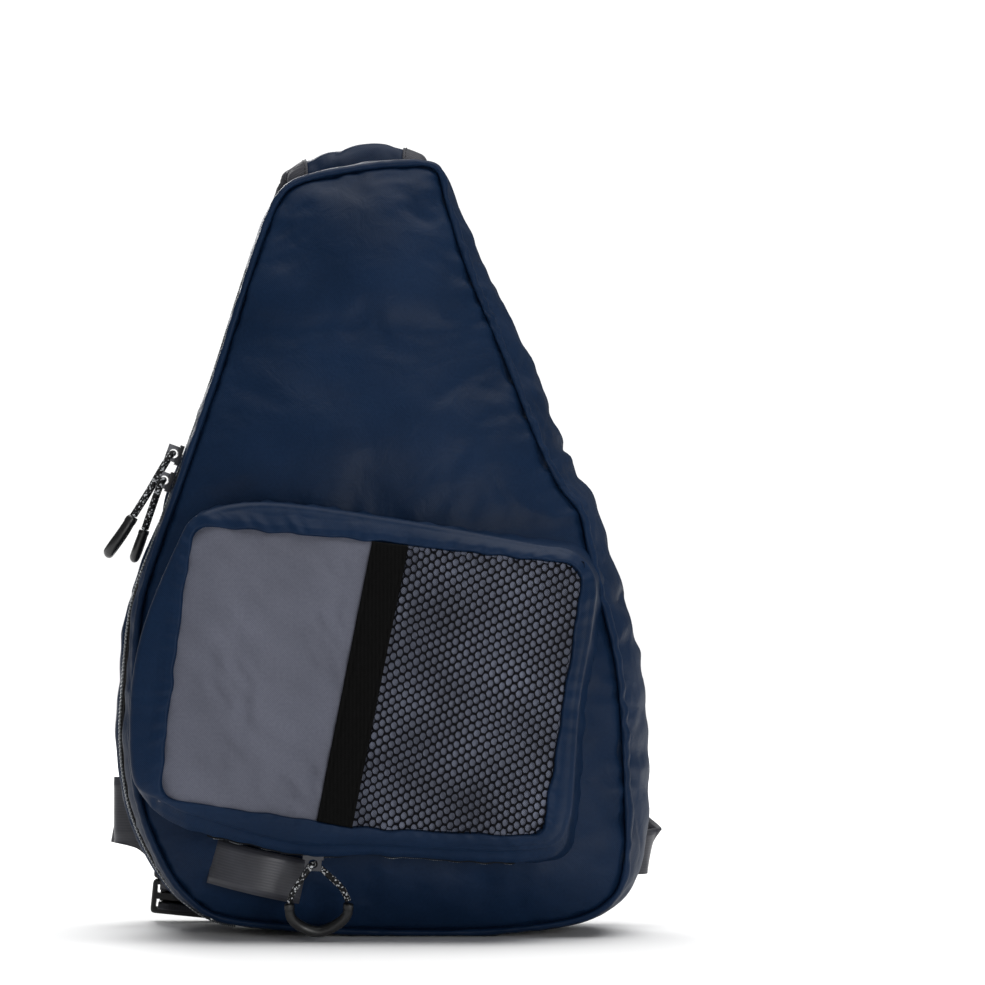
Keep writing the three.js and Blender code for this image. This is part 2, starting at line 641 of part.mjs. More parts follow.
// A side-release buckle in its own frame: x across, y along with the socket half up, z out.
function sideReleaseBuckle(web, length) {
  const width = web + 2 * buckleCheek + 1;
  const thick = 0.16 * length;
  const barDepth = 3.6;
  const slot = 4.4;
  const plugBase = 3;
  const plug = plugBase + 2 * slot + 2 * barDepth;
  const joint = -length / 2 + plug;
  const socketTop = length / 2;
  const notchLow = joint + 0.34 * (socketTop - joint);
  const notchHigh = joint + 0.68 * (socketTop - joint);
  const notchDepth = 0.16 * width;
  const block = (x0, x1, y0, y1, z0, z1) => {
    const box = new THREE.BoxGeometry(x1 - x0, y1 - y0, z1 - z0);
    box.translate((x0 + x1) / 2, (y0 + y1) / 2, (z0 + z1) / 2);
    return solidOf(box);
  };
  const plate = (half, low, high, corner, z) => {
    const shape = new THREE.Shape();
    shape.moveTo(-half + corner, low);
    shape.lineTo(half - corner, low);
    shape.quadraticCurveTo(half, low, half, low + corner);
    shape.lineTo(half, high - corner);
    shape.quadraticCurveTo(half, high, half - corner, high);
    shape.lineTo(-half + corner, high);
    shape.quadraticCurveTo(-half, high, -half, high - corner);
    shape.lineTo(-half, low + corner);
    shape.quadraticCurveTo(-half, low, -half + corner, low);
    const body = new THREE.ExtrudeGeometry(shape, {
      depth: 2 * z - 2,
      bevelEnabled: true,
      bevelThickness: 1,
      bevelSize: 0.9,
      bevelOffset: -0.9,
      bevelSegments: 1,
      curveSegments: 3,
    });
    body.translate(0, 0, 1 - z);
    return solidOf(body);
  };
  const notch = (sign) => {
    const shape = new THREE.Shape();
    shape.absellipse(sign * width / 2, (notchLow + notchHigh) / 2, notchDepth,
      (notchHigh - notchLow) / 2, 0, 2 * Math.PI);
    const cut = new THREE.ExtrudeGeometry(shape, { depth: 2 * thick, bevelEnabled: false, curveSegments: 8 });
    cut.translate(0, 0, -thick);
    return solidOf(cut);
  };
  const webHole = (y) => block(-web / 2 - 0.5, web / 2 + 0.5, y - slot / 2, y + slot / 2, -thick, thick);
  const armIn = width / 2 - notchDepth - 0.6;
  const cavity = block(-width / 2 + 2, width / 2 - 2, joint - 1, notchHigh, -thick * 0.24, thick * 0.24);
  const topSlot = socketTop - 2.6 - slot / 2;
  const socket = plate(width / 2, joint + gap, socketTop, 2.5, thick / 2)
    .subtract(notch(1)).subtract(notch(-1)).subtract(cavity).subtract(webHole(topSlot));
  const firstSlot = joint - plugBase - slot / 2;
  const secondSlot = firstSlot - slot - barDepth;
  const frame = plate(width / 2, -length / 2, joint, 2.5, thick / 2)
    .subtract(webHole(firstSlot)).subtract(webHole(secondSlot));
  const arm = (sign) => {
    const x = [sign * armIn, sign * (armIn - 3)].sort((a, b) => a - b);
    const tab = [sign * (armIn - 1), sign * (width / 2 - 0.4)].sort((a, b) => a - b);
    return block(x[0], x[1], joint - 1, notchHigh - 1.2, -thick * 0.2, thick * 0.2)
      .add(block(tab[0], tab[1], notchLow + 2, notchHigh - 2.2, -thick * 0.2, thick * 0.2));
  };
  const guide = block(-2.5, 2.5, joint - 1, notchLow, -thick * 0.2, thick * 0.2);
  return {
    socket,
    plug: frame.add(arm(1)).add(arm(-1)).add(guide),
    barY: firstSlot - slot / 2 - barDepth / 2,
    socketSlotY: topSlot,
    socketTop,
    plugLow: -length / 2,
    thick,
    slot,
    barDepth,
  };
}

// Places a solid by its middle and its long, outward and sideways directions.
function placed(solid, frame) {
  const m = new THREE.Matrix4().makeBasis(frame.side, frame.along, frame.out).setPosition(frame.at);
  const e = m.elements;
  return solid.transform([e[0], e[1], e[2], e[3], e[4], e[5], e[6], e[7],
    e[8], e[9], e[10], e[11], e[12], e[13], e[14], e[15]]);
}
function frameAt(at, towards, out) {
  const along = towards.clone().normalize();
  const flatOut = out.clone().addScaledVector(along, -out.dot(along)).normalize();
  return { at, along, out: flatOut, side: new THREE.Vector3().crossVectors(along, flatOut) };
}
function inFrame(frame, x, y, z) {
  return frame.at.clone()
    .addScaledVector(frame.side, x).addScaledVector(frame.along, y).addScaledVector(frame.out, z);
}

// Webbing that comes from behind, goes over the middle bar of a plug and leaves behind its end.
function overTheBar(buckle, frame, thickness) {
  const half = buckle.barDepth / 2;
  const under = buckle.thick / 2 + gap + thickness / 2;
  const reach = half + buckle.slot / 2;
  const over = buckle.thick / 2 + gap + thickness / 2;
  const stop = (y, z) => ({ at: inFrame(frame, 0, buckle.barY + y, z), side: frame.side.clone() });
  return [
    stop(reach + 9, -under - 0.2), stop(reach + 4, -under - 0.2), stop(reach + 0.6, -under + 1),
    stop(reach, 0), stop(reach - 0.6, over - 1), stop(reach - 2, over), stop(0, over + 0.1),
    stop(-reach + 2, over), stop(-reach + 0.6, over - 1), stop(-reach, 0),
    stop(-reach - 0.6, -under + 1), stop(-reach - 3, -under - 0.2), stop(-reach - 8, -under - 0.4),
  ];
}

// Webbing folded over the slot end of a socket: one layer in front, one behind.
function roundTheSlot(buckle, frame, thickness) {
  const z = buckle.thick / 2 + gap + thickness / 2;
  const stop = (y, off) => ({ at: inFrame(frame, 0, buckle.socketSlotY + y, off), side: frame.side.clone() });
  return [stop(7, -z - 0.6), stop(2.6, -z), stop(0.5, -z + 0.9), stop(0, 0), stop(0.5, z - 0.9), stop(2.6, z),
    stop(7, z + 0.3)];
}

function webStop(x, y, z, side) {
  return { at: new THREE.Vector3(x, y, z), side: new THREE.Vector3(...side) };
}

// Wide webbing and buckle at the lower end of the strap
const wideBuckle = sideReleaseBuckle(wideWeb, wideBuckleLength);
const strapEnd = strapAt(1);
const wideFrame = frameAt(
  new THREE.Vector3(-0.728 * bagHalfWidth, strapEnd.at.y - 1, wideBuckleLength / 2 + 2.2),
  new THREE.Vector3(0.1, 0.02, 1), new THREE.Vector3(0, 1, 0));
const padStop = (share, extra) => {
  const place = strapAt(share);
  const lift = place.thickness / 2 + bindingThickness + 2 * gap + wideWebThickness / 2 + extra;
  return { at: place.at.clone().addScaledVector(place.out, lift), side: place.side.clone().negate() };
};
const patchStops = [
  padStop(0.8, 0), padStop(0.85, 0.2), padStop(0.9, 0.4), padStop(0.95, 0.8), padStop(0.985, 1),
];
const wideTurn = roundTheSlot(wideBuckle, wideFrame, wideWebThickness).reverse();
const strapWeb38 = band([...patchStops, ...wideTurn], wideWeb, wideWebThickness, 30);

const bar38 = overTheBar(wideBuckle, wideFrame, wideWebThickness);
const leftSeam = gussetPoint(outlineWhere((p) => p.x < 0 && p.y > 0.15 * bagHeight), 1);
const behindWide = wideFrame.at.y - wideBuckle.thick / 2 - 2 * gap - wideWebThickness;
const base38Stops = [
  webStop(leftSeam.x + 1, backSeamY - 6, 0.15 * bagHeight, [0, 0, -1]),
  webStop(-1.02 * bagHalfWidth, backSeamY - 2, 0.15 * bagHeight, [0, 0, -1]),
  webStop(-1.025 * bagHalfWidth, backFaceY - 1, 0.148 * bagHeight, [0, 0, -1]),
  webStop(-0.89 * bagHalfWidth, behindWide - 0.6, 0.134 * bagHeight, [-0.5, 0, -0.866]),
  webStop(-0.785 * bagHalfWidth, behindWide - 0.5, 0.1 * bagHeight, [-0.866, 0, -0.5]),
  ...bar38.slice(0, 12),
];
const baseWeb38 = seatTools(band(base38Stops, wideWeb - 2, wideWebThickness, 30));

// Narrow webbing and buckle at the side of the strap
const narrowBuckle = sideReleaseBuckle(narrowWeb, narrowBuckleLength);
const narrowFrame = frameAt(
  new THREE.Vector3(0.205 * bagHalfWidth, backFaceY + 13, 0.52 * bagHeight),
  new THREE.Vector3(-0.62, 0.1, 0.78), new THREE.Vector3(0, 1, 0));
const edgePlace = strapAt(0.588);
const edgeStop = (inward, lift) => ({
  at: edgePlace.at.clone()
    .addScaledVector(edgePlace.side, edgePlace.width / 2 - inward)
    .addScaledVector(edgePlace.out, lift),
  side: edgePlace.along.clone(),
});
const edgeLift = strapEdgeThickness / 2 + bindingThickness + 2 * gap + narrowWebThickness / 2;
const narrowTurn = roundTheSlot(narrowBuckle, narrowFrame, narrowWebThickness).reverse();
const strapWeb25 = band([
  edgeStop(16, edgeLift + 4.2), edgeStop(8, edgeLift + 3.4), edgeStop(0, edgeLift + 3.4),
  edgeStop(-7, edgeLift + 2.8),
  ...narrowTurn,
], narrowWeb, narrowWebThickness, 30);

const bar25 = overTheBar(narrowBuckle, narrowFrame, narrowWebThickness);
const rightSeam = gussetPoint(outlineWhere((p) => p.x > 0.5 * bagHalfWidth && p.y < 0.1 * bagHeight), 1);
const base25Stops = [
  ...bar25,
  webStop(0.62 * bagHalfWidth, backFaceY + 4, 0.3 * bagHeight, [-0.82, 0, -0.57]),
  webStop(0.9 * bagHalfWidth, backFaceY + 3, 0.14 * bagHeight, [-0.82, 0, -0.57]),
  webStop(1.025 * bagHalfWidth, backSeamY + 7, 0.1 * bagHeight, [-0.3, 0, -0.95]),
  webStop(1.015 * bagHalfWidth, backSeamY - 4, 0.095 * bagHeight, [-0.1, 0, -1]),
  webStop(rightSeam.x - 1, backSeamY - 10, 0.095 * bagHeight, [0, 0, -1]),
];
const baseWeb25 = seatTools(band(base25Stops, narrowWeb, narrowWebThickness, 34));

const eyeRadius = pullCordDiameter / 2 + 0.9;

// A zip slider: a flat body on the coil with an arched bridge that the pull passes through.
function slider(frame) {
  const shell = new THREE.BoxGeometry(sliderWidth, sliderLength, sliderBase);
  shell.translate(0, 0, sliderBase / 2);
  const bridge = new THREE.BoxGeometry(sliderBridge, 0.8 * sliderLength, 2 * pullCordDiameter);
  bridge.translate(0, 0, pullCordDiameter + sliderBase - 0.4);
  const eye = new THREE.CylinderGeometry(eyeRadius, eyeRadius, 3 * sliderBridge, 12);
  eye.rotateZ(Math.PI / 2);
  eye.translate(0, 0, sliderBase + pullCordDiameter / 2 + 0.6);
  return placed(solidOf(shell).add(solidOf(bridge)).subtract(solidOf(eye)), frame);
}
function gussetFrame(t, side) {
  const depth = gussetDepth(outlineAt(t).point.y);
  const v = zipSetback / depth;
  const lift = zipCoilRise + gap + 0.3;
  const at = gussetPoint(t, v, lift);
  const along = gussetPoint(t + 0.004, v, lift).sub(gussetPoint(t - 0.004, v, lift)).multiplyScalar(side);
  const across = gussetPoint(t, v + 0.03, lift).sub(gussetPoint(t, v - 0.03, lift));
  const out = new THREE.Vector3().crossVectors(across, along).multiplyScalar(side);
  const outward = outlineAt(t).outward;
  if (out.x * outward.x + out.z * outward.y < 0) out.negate();
  return frameAt(at, along, out);
}
const upperFrame = gussetFrame(upperSliderT, 1);
const lowerFrame = gussetFrame(lowerSliderT, -1);
const pocketProbe = new THREE.Mesh(geometryOf(pocketOuter), new THREE.MeshBasicMaterial());
pocketProbe.updateMatrixWorld(true);
function pocketUndersideZ(x, y) {
  const ray = new THREE.Raycaster(new THREE.Vector3(x, y, -bagHeight), new THREE.Vector3(0, 0, 1));
  return ray.intersectObject(pocketProbe)[0].point.z;
}
const pocketSliderFrame = frameAt(
  new THREE.Vector3(pocketSliderX, zipY, pocketUndersideZ(pocketSliderX, zipY) - 2 * gap),
  new THREE.Vector3(1, 0, -0.05), new THREE.Vector3(0, 0, -1));

// Routes of the three cord pulls and of their moulded grips, each from one end to the other.
const upperPullRoute = [
  [-133.5, -24, 224.5], [-125, -24.5, 238], [-116.5, -24, 252.5], [-112.8, -21.2, 258],
  [-111.9, -17.2, 258.3], [-112.8, -13.2, 258], [-116.5, -10.5, 252.5], [-125, -9.5, 238],
  [-133.5, -10, 224.5],
];
const upperGripRoute = [
  [-133.8, -24, 224], [-139.5, -24.3, 215], [-144.5, -22.5, 208], [-146.8, -17.2, 204.8],
  [-144.5, -11.7, 208], [-139.5, -9.8, 215], [-133.8, -10, 224],
];
const lowerPullRoute = [
  [-127.8, -15.5, 217.5], [-124, -19.5, 228], [-119.8, -23.2, 239], [-117.6, -21.8, 243.6],
  [-117, -17.8, 244], [-117.6, -13.8, 243.6], [-119.8, -11, 239], [-124, -5.5, 228],
  [-127.8, -1.5, 217.5],
];
const lowerGripRoute = [
  [-128, -15.3, 216.9], [-130.3, -14.2, 210.5], [-132.5, -10.5, 204.5], [-133.4, -7, 202.3],
  [-132.5, -3.2, 204.5], [-130.3, -1.6, 210.5], [-128, -1.6, 216.9],
];
const pocketPullRoute = [
  [-46.8, -85, 21.4], [-45, -88, 26], [-40, -91.5, 34], [-35, -91, 40.9], [-34, -87, 41.5],
  [-33, -83, 40.9], [-26, -82, 35], [-19, -82.5, 28], [-15.7, -83.5, 21.4],
];
const pocketGripRoute = [
  [-46.9, -84.9, 20.3], [-46, -83, 13], [-40, -80, 7.6], [-31.5, -79, 5.2], [-22, -80, 9],
  [-16.5, -82, 14.5], [-15.7, -83.4, 20.3],
];

function rod(points, diameter, steps) {
  const route = new THREE.CatmullRomCurve3(points.map((p) => new THREE.Vector3(...p)), false, "centripetal");
  const round = new THREE.Shape();
  round.absarc(0, 0, diameter / 2, 0, 2 * Math.PI, true);
  return solidOf(new THREE.ExtrudeGeometry(round, { extrudePath: route, steps, curveSegments: 4 }));
}

const material = (colour, roughness, metalness = 0) => new THREE.MeshStandardMaterial({
  color: colour,
  roughness,
  metalness,
});
const bag = new THREE.Group();

function add(name, solid, paint) {
  const mesh = new THREE.Mesh(geometryOf(solid), paint);
  mesh.name = name;
  bag.add(mesh);
  return mesh;
}

const navyCloth = material(0x1c2b42, 0.6);
const greyCloth = material(0x585b67, 0.65);
const blackMesh = material(0x1c1d1e, 0.9);
const greyWeb = material(0x3a3a42, 0.6);
const blackTape = material(0x121212, 0.7);
const blackPlastic = material(0x1b1b1b, 0.4);
const zipMetal = material(0x202124, 0.35, 0.7);
const blackCord = material(0x16181a, 0.7);

add("body_shell", bodyShell, navyCloth);
add("main_zipper", mainZipper, blackTape);
add("back_panel", backPanel, blackMesh);
add("pocket_shell", pocketShell, navyCloth);
add("pocket_zipper", pocketZipper, blackTape);
add("pocket_grey_panel", pocketGrey, greyCloth);
add("pocket_black_tape", pocketTape, blackTape);
add("pocket_lining", pocketLining, greyCloth);
add("pocket_net", pocketNet, blackMesh);
add("pocket_web_loop", pocketWebLoop, greyWeb);
add("strap_pad", strapPad, navyCloth);
add("strap_binding", strapBinding, greyWeb);
add("strap_web_38", strapWeb38, greyWeb);
add("buckle_38_socket", placed(wideBuckle.socket, wideFrame), blackPlastic);
add("buckle_38_plug", placed(wideBuckle.plug, wideFrame), blackPlastic);
add("base_web_38", baseWeb38, greyWeb);
add("strap_web_25", strapWeb25, greyWeb);
add("buckle_25_socket", placed(narrowBuckle.socket, narrowFrame), blackPlastic);
add("buckle_25_plug", placed(narrowBuckle.plug, narrowFrame), blackPlastic);
add("base_web_25", baseWeb25, greyWeb);
add("side_slider_upper", slider(upperFrame), zipMetal);
add("side_slider_lower", slider(lowerFrame), zipMetal);
add("pocket_slider", slider(pocketSliderFrame), zipMetal);
add("side_pull_cord_upper", rod(upperPullRoute, pullCordDiameter, 18), blackCord);
add("side_pull_grip_upper", rod(upperGripRoute, gripDiameter, 10), blackPlastic);
add("side_pull_cord_lower", rod(lowerPullRoute, pullCordDiameter, 18), blackCord);
add("side_pull_grip_lower", rod(lowerGripRoute, gripDiameter, 10), blackPlastic);
add("pocket_pull_cord", rod(pocketPullRoute, pullCordDiameter, 18), blackCord);
add("pocket_pull_grip", rod(pocketGripRoute, gripDiameter, 10), blackPlastic);

export default bag;
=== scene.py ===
"""A fishing tackle sling bag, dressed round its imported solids. Metres, front pocket to -Y, up is +Z."""
import math

import bmesh
import bpy
import numpy as np
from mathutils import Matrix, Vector
from mathutils.bvhtree import BVHTree
from mathutils.kdtree import KDTree


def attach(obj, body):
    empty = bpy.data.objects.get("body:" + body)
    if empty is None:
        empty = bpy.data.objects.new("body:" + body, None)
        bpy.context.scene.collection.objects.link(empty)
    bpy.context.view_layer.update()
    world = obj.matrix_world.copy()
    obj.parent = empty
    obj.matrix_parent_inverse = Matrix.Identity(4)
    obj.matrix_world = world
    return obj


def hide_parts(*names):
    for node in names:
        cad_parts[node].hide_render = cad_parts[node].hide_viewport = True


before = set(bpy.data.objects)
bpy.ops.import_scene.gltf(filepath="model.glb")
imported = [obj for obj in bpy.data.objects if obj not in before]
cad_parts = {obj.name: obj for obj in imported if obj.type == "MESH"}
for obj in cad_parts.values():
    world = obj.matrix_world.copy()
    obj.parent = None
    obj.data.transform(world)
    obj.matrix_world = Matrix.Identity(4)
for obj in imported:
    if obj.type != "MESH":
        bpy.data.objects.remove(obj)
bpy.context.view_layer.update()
scene = bpy.context.scene
mm = 0.001


# The photograph's view: the bag from straight in front, seen with a long lens at the height
# of its middle. It stands in the left half of the picture, as it does in the photograph.
picture_pixels, pixels_per_mm = 985, 1.85
picture_width = picture_pixels / pixels_per_mm * mm
lens_distance = 3.0
front_plane_y = -12 * mm
middle_x, middle_z = 60.3 * mm, 237.2 * mm
lens = bpy.data.cameras.new("long_lens")
lens.sensor_width = 36.0
lens.lens = lens.sensor_width * lens_distance / picture_width
lens.clip_start = 0.1
lens.clip_end = 60.0
camera = bpy.data.objects.new("camera", lens)
camera.location = (middle_x, -lens_distance + front_plane_y, middle_z)
camera.rotation_euler = (math.pi / 2, 0, 0)
scene.collection.objects.link(camera)
scene.camera = camera
scene.view_settings.view_transform = "Standard"
scene.view_settings.look = "None"


# The studio: a wide matt white floor under a broad soft ceiling light almost straight above the
# bag, with a softbox in front of it and one behind. The backdrop is blown out to plain white,
# while the air that lights the bag is dimmer, so that dark cloth stays dark.
def hex_colour(code):
    """Linear colour of an sRGB hex value."""
    parts = [int(code[i:i + 2], 16) / 255 for i in (0, 2, 4)]
    return tuple(p / 12.92 if p <= 0.04045 else ((p + 0.055) / 1.055) ** 2.4 for p in parts) + (1.0,)


def feed(tree, part, inputs):
    """Feeds a node's inputs, by name or number, with a value, a socket or a node's first output."""
    for key, value in dict(inputs).items():
        if isinstance(value, bpy.types.Node):
            value = value.outputs[0]
        if isinstance(value, bpy.types.NodeSocket):
            tree.links.new(value, part.inputs[key])
        else:
            part.inputs[key].default_value = value


def node(tree, kind, settings=(), inputs=()):
    """Adds one shader node with its settings by name (stops are a colour ramp's) and its inputs."""
    made = tree.nodes.new("ShaderNode" + kind)
    for key, value in dict(settings).items():
        if key == "stops":
            for stop, (place, code) in zip(made.color_ramp.elements, value):
                stop.position = place
                stop.color = hex_colour(code)
        else:
            setattr(made, key, value)
    feed(tree, made, inputs)
    return made


def finish_of(name, roughness, metallic=0.0, ior=1.5, gloss=0.5):
    """A new material with its shader, ready for its colour and surface nodes."""
    made = bpy.data.materials.new(name)
    made.use_nodes = True
    shader = made.node_tree.nodes["Principled BSDF"]
    shader.inputs["Roughness"].default_value = roughness
    shader.inputs["Metallic"].default_value = metallic
    shader.inputs["IOR"].default_value = ior
    shader.inputs["Specular IOR Level"].default_value = gloss
    return made, made.node_tree, shader


def object_of(name, points, faces, surface=None, uv=None):
    """A mesh object from points and faces, with a material and UVs in metres per face corner."""
    mesh = bpy.data.meshes.new(name)
    mesh.from_pydata([tuple(p) for p in points], [], [tuple(f) for f in faces])
    mesh.update()
    if uv is not None:
        layer = mesh.uv_layers.new(name="cut")
        layer.data.foreach_set("uv", np.asarray(uv, np.float32).ravel())
    mesh.polygons.foreach_set("use_smooth", [True] * len(mesh.polygons))
    if surface:
        mesh.materials.append(surface)
    made = bpy.data.objects.new(name, mesh)
    scene.collection.objects.link(made)
    return made


def belongs(piece, stands_for=None):
    """The piece rides on the bag and, where given, stands for a solid of the frame, which is hidden."""
    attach(piece, "root")
    if stands_for:
        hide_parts(stands_for)


white_paper, tree, shader = finish_of("white_paper_matt", 0.9)
grain = node(tree, "TexNoise", inputs={"Scale": 3.0, "Detail": 2.0})
tint = node(tree, "ValToRGB", {"stops": [(0.0, "f4f4f4"), (1.0, "fafafa")]}, {"Fac": grain})
feed(tree, shader, {"Base Color": tint})
floor_reach, floor_z = 20, -0.4 * mm
floor_points = [(x * floor_reach, y * floor_reach, floor_z)
                for x, y in ((-1, -1), (1, -1), (1, 1), (-1, 1))]
object_of("studio_floor", floor_points, [(0, 1, 2, 3)], white_paper)

air = bpy.data.worlds.new("studio_air")
air.use_nodes = True
backdrop = node(air.node_tree, "LightPath").outputs["Is Camera Ray"]
lighting_glow, backdrop_glow = 0.15, 0.95
glow = node(air.node_tree, "Math", {"operation": "MULTIPLY_ADD"},
            {0: backdrop, 1: backdrop_glow, 2: lighting_glow})
feed(air.node_tree, air.node_tree.nodes["Background"],
     {"Strength": glow, "Color": hex_colour("ffffff")})
scene.world = air
ceiling = bpy.data.lights.new("ceiling_light", "SUN")
ceiling.energy = 3.3
ceiling.angle = math.radians(70)
made = bpy.data.objects.new("ceiling_light", ceiling)
made.rotation_euler = Vector((0.1, 0.06, 1.0)).to_track_quat("Z", "Y").to_euler()
scene.collection.objects.link(made)
bag_middle = Vector((0, 0, 0.22))
softboxes = [
    ("softbox_front", (0.7, -1.8, 0.2), 0.7, 16.0),
    ("softbox_back", (-0.5, 2.2, 0.9), 0.8, 26.0),
]
for name, place, size, power in softboxes:
    lamp = bpy.data.lights.new(name, "AREA")
    lamp.size = size
    lamp.energy = power
    made = bpy.data.objects.new(name, lamp)
    made.location = place
    made.rotation_euler = (Vector(place) - bag_middle).to_track_quat("Z", "Y").to_euler()
    scene.collection.objects.link(made)


# Body of the bag: a tub of navy polyester, a shaped front panel sewn to a gusset that narrows
# towards the top. It is cut from coated cloth, sewn inside out and turned, so the seam lies
# in a groove with small puckers, and the filled bag swells between its seams.
half_width = 143 * mm
height = 418 * mm
depth_full = 100 * mm
back_seam = 46 * mm
gusset_inset = 12 * mm
widest_at = 0.42
front_pillow = 14 * mm
outline_rows = np.array([
    (0.08, -0.0072, 0.45, 0.3), (-0.35, 0.0, 0.45, 0.35), (-0.635, 0.0144, 0.5, 0.6),
    (-0.752, 0.0407, 0.6, 0.8), (-0.82, 0.067, 0.66, 0.9), (-0.907, 0.1172, 0.8, 1.0),
    (-0.964, 0.17, 0.9, 1.0), (-0.992, 0.2464, 0.9, 1.0), (-0.983, 0.3254, 0.9, 1.0),
    (-0.945, 0.428, 0.7, 1.0), (-0.862, 0.506, 0.5, 1.0), (-0.752, 0.61, 0.42, 1.0),
    (-0.646, 0.713, 0.35, 0.95), (-0.552, 0.816, 0.32, 0.85), (-0.45, 0.92, 0.3, 0.6),
    (-0.405, 0.953, 0.28, 0.4), (-0.345, 0.973, 0.26, 0.3), (-0.098, 0.994, 0.25, 0.3),
    (0.07, 1.0, 0.25, 0.3), (0.19, 0.999, 0.25, 0.3), (0.238, 0.988, 0.3, 0.35),
    (0.283, 0.945, 0.42, 0.4), (0.378, 0.868, 0.7, 0.4), (0.525, 0.765, 0.95, 0.42),
    (0.722, 0.596, 0.85, 0.45), (0.808, 0.55, 0.75, 0.5), (0.852, 0.4904, 0.8, 0.5),
    (0.895, 0.445, 0.9, 0.5), (0.964, 0.359, 1.0, 0.5), (0.99, 0.273, 1.0, 0.5),
    (1.0, 0.196, 1.0, 0.5), (0.993, 0.117, 0.85, 0.5), (0.957, 0.067, 0.65, 0.45),
    (0.907, 0.0407, 0.55, 0.4), (0.794, 0.0144, 0.5, 0.35), (0.49, -0.0036, 0.45, 0.3),
])
outline_rows = outline_rows * (half_width, height, gusset_inset, gusset_inset)


def curve_through(points, closed, per_span):
    """A smooth curve through rows of numbers, spaced by the square root of their distances."""
    points = np.asarray(points, float)
    if closed:
        ring = np.vstack([points[-1], points, points[:2]])
    else:
        ring = np.vstack([2 * points[0] - points[1], points, 2 * points[-1] - points[-2]])
    spans = []
    share = np.linspace(0, 1, per_span, endpoint=False)[:, None]
    for i in range(len(ring) - 3):
        p0, p1, p2, p3 = ring[i:i + 4]
        d0, d1, d2 = (max(1e-5, math.sqrt(np.linalg.norm(b - a)))
                      for a, b in ((p0, p1), (p1, p2), (p2, p3)))
        into = ((p1 - p0) / d0 - (p2 - p0) / (d0 + d1) + (p2 - p1) / d1) * d1
        out = ((p2 - p1) / d1 - (p3 - p1) / (d1 + d2) + (p3 - p2) / d2) * d1
        rise = -3 * p1 + 3 * p2 - 2 * into - out
        bend = 2 * p1 - 2 * p2 + into + out
        spans.append(p1 + into * share + rise * share ** 2 + bend * share ** 3)
    if not closed:
        spans.append(points[-1:])
    return np.vstack(spans)


def even(curve, count, closed):
    """The curve at evenly spaced places along it, and its length."""
    run = np.vstack([curve, curve[:1]]) if closed else curve
    steps = np.linalg.norm(np.diff(run[:, :3] if run.shape[1] != 4 else run[:, :2], axis=0), axis=1)
    reach = np.concatenate([[0], np.cumsum(steps)])
    places = np.linspace(0, reach[-1], count, endpoint=not closed)
    return np.stack([np.interp(places, reach, run[:, k]) for k in range(run.shape[1])], 1), reach[-1]


outline_count = 1168
outline, outline_length = even(curve_through(outline_rows, True, 40), outline_count, True)
along = np.roll(outline[:, :2], -3, 0) - np.roll(outline[:, :2], 3, 0)
along /= np.linalg.norm(along, axis=1)[:, None]
outward = np.stack([-along[:, 1], along[:, 0]], 1)


def eased_rows(rows, at):
    """Eased interpolation in a table of (place, value) rows."""
    rows = np.array(rows)
    at = np.clip(at, rows[0, 0], rows[-1, 0])
    k = np.clip(np.searchsorted(rows[:, 0], at) - 1, 0, len(rows) - 2)
    s = (at - rows[k, 0]) / (rows[k + 1, 0] - rows[k, 0])
    s = s * s * (3 - 2 * s)
    return rows[k, 1] * (1 - s) + rows[k + 1, 1] * s


def gusset_depth(z):
    return depth_full * eased_rows(
        [(-0.02, 0.9), (0.08, 1.0), (0.35, 1.0), (0.6, 0.87), (0.8, 0.68), (1.02, 0.46)], z / height)


def gusset_at(t, v, grow=0.0):
    """Points of the gusset: t round the outline from 0 to 1, v from the front to the back seam."""
    t, v = np.broadcast_arrays(np.asarray(t, float), np.asarray(v, float))
    place = (t % 1.0) * outline_count
    k = np.floor(place).astype(int) % outline_count
    s = (place - np.floor(place))[..., None]
    nxt = (k + 1) % outline_count
    row = outline[k] * (1 - s) + outline[nxt] * s
    out = outward[k] * (1 - s) + outward[nxt] * s
    front = row[..., 2] * (1 - np.sin(np.pi / 2 * np.minimum(v / widest_at, 1)))
    past = np.clip((v - widest_at) / (1 - widest_at), 0, 1)
    inset = np.where(v < widest_at, front, row[..., 3] * (1 - np.cos(np.pi / 2 * past)))
    flat = row[..., :2] + out * (grow - inset)[..., None]
    y = back_seam - gusset_depth(flat[..., 1]) * (1 - v)
    return np.stack([flat[..., 0], y, np.maximum(flat[..., 1], -grow)], -1)


low_centre = np.array([0, 0.3 * height])
high_centre = np.array([-0.07 * half_width, 0.82 * height])


def panel_at(t, ring, y_at):
    """Points of a panel inside a seam: ring is the share of the way out from its middle line."""
    seam = gusset_at(t, 0.0 if y_at == "front" else 1.0)
    share = np.clip((seam[..., 2] - low_centre[1]) / (high_centre[1] - low_centre[1]), 0, 1)[..., None]
    centre = low_centre * (1 - share) + high_centre * share
    flat = centre + (seam[..., [0, 2]] - centre) * ring
    if y_at == "front":
        y = back_seam - gusset_depth(flat[..., 1]) - front_pillow * (1 - ring ** 2.4) ** 0.8
    else:
        y = np.full(flat.shape[:-1], back_seam)
    return np.stack([flat[..., 0], y, flat[..., 1]], -1)


def skin(rings, first=0):
    """Faces between rings of equal length, closed by one many-sided face at either end."""
    rows, size = len(rings), len(rings[0])
    faces = []
    for r in range(rows - 1):
        for i in range(size):
            a, b = first + r * size + i, first + r * size + (i + 1) % size
            faces.append((a, b, b + size, a + size))
    faces.append(tuple(first + i for i in range(size))[::-1])
    faces.append(tuple(first + (rows - 1) * size + i for i in range(size)))
    return faces


def reach_along(line):
    """Distance along a line of points, from its first one."""
    return np.concatenate([[0], np.cumsum(np.linalg.norm(np.diff(line, axis=0), axis=1))])


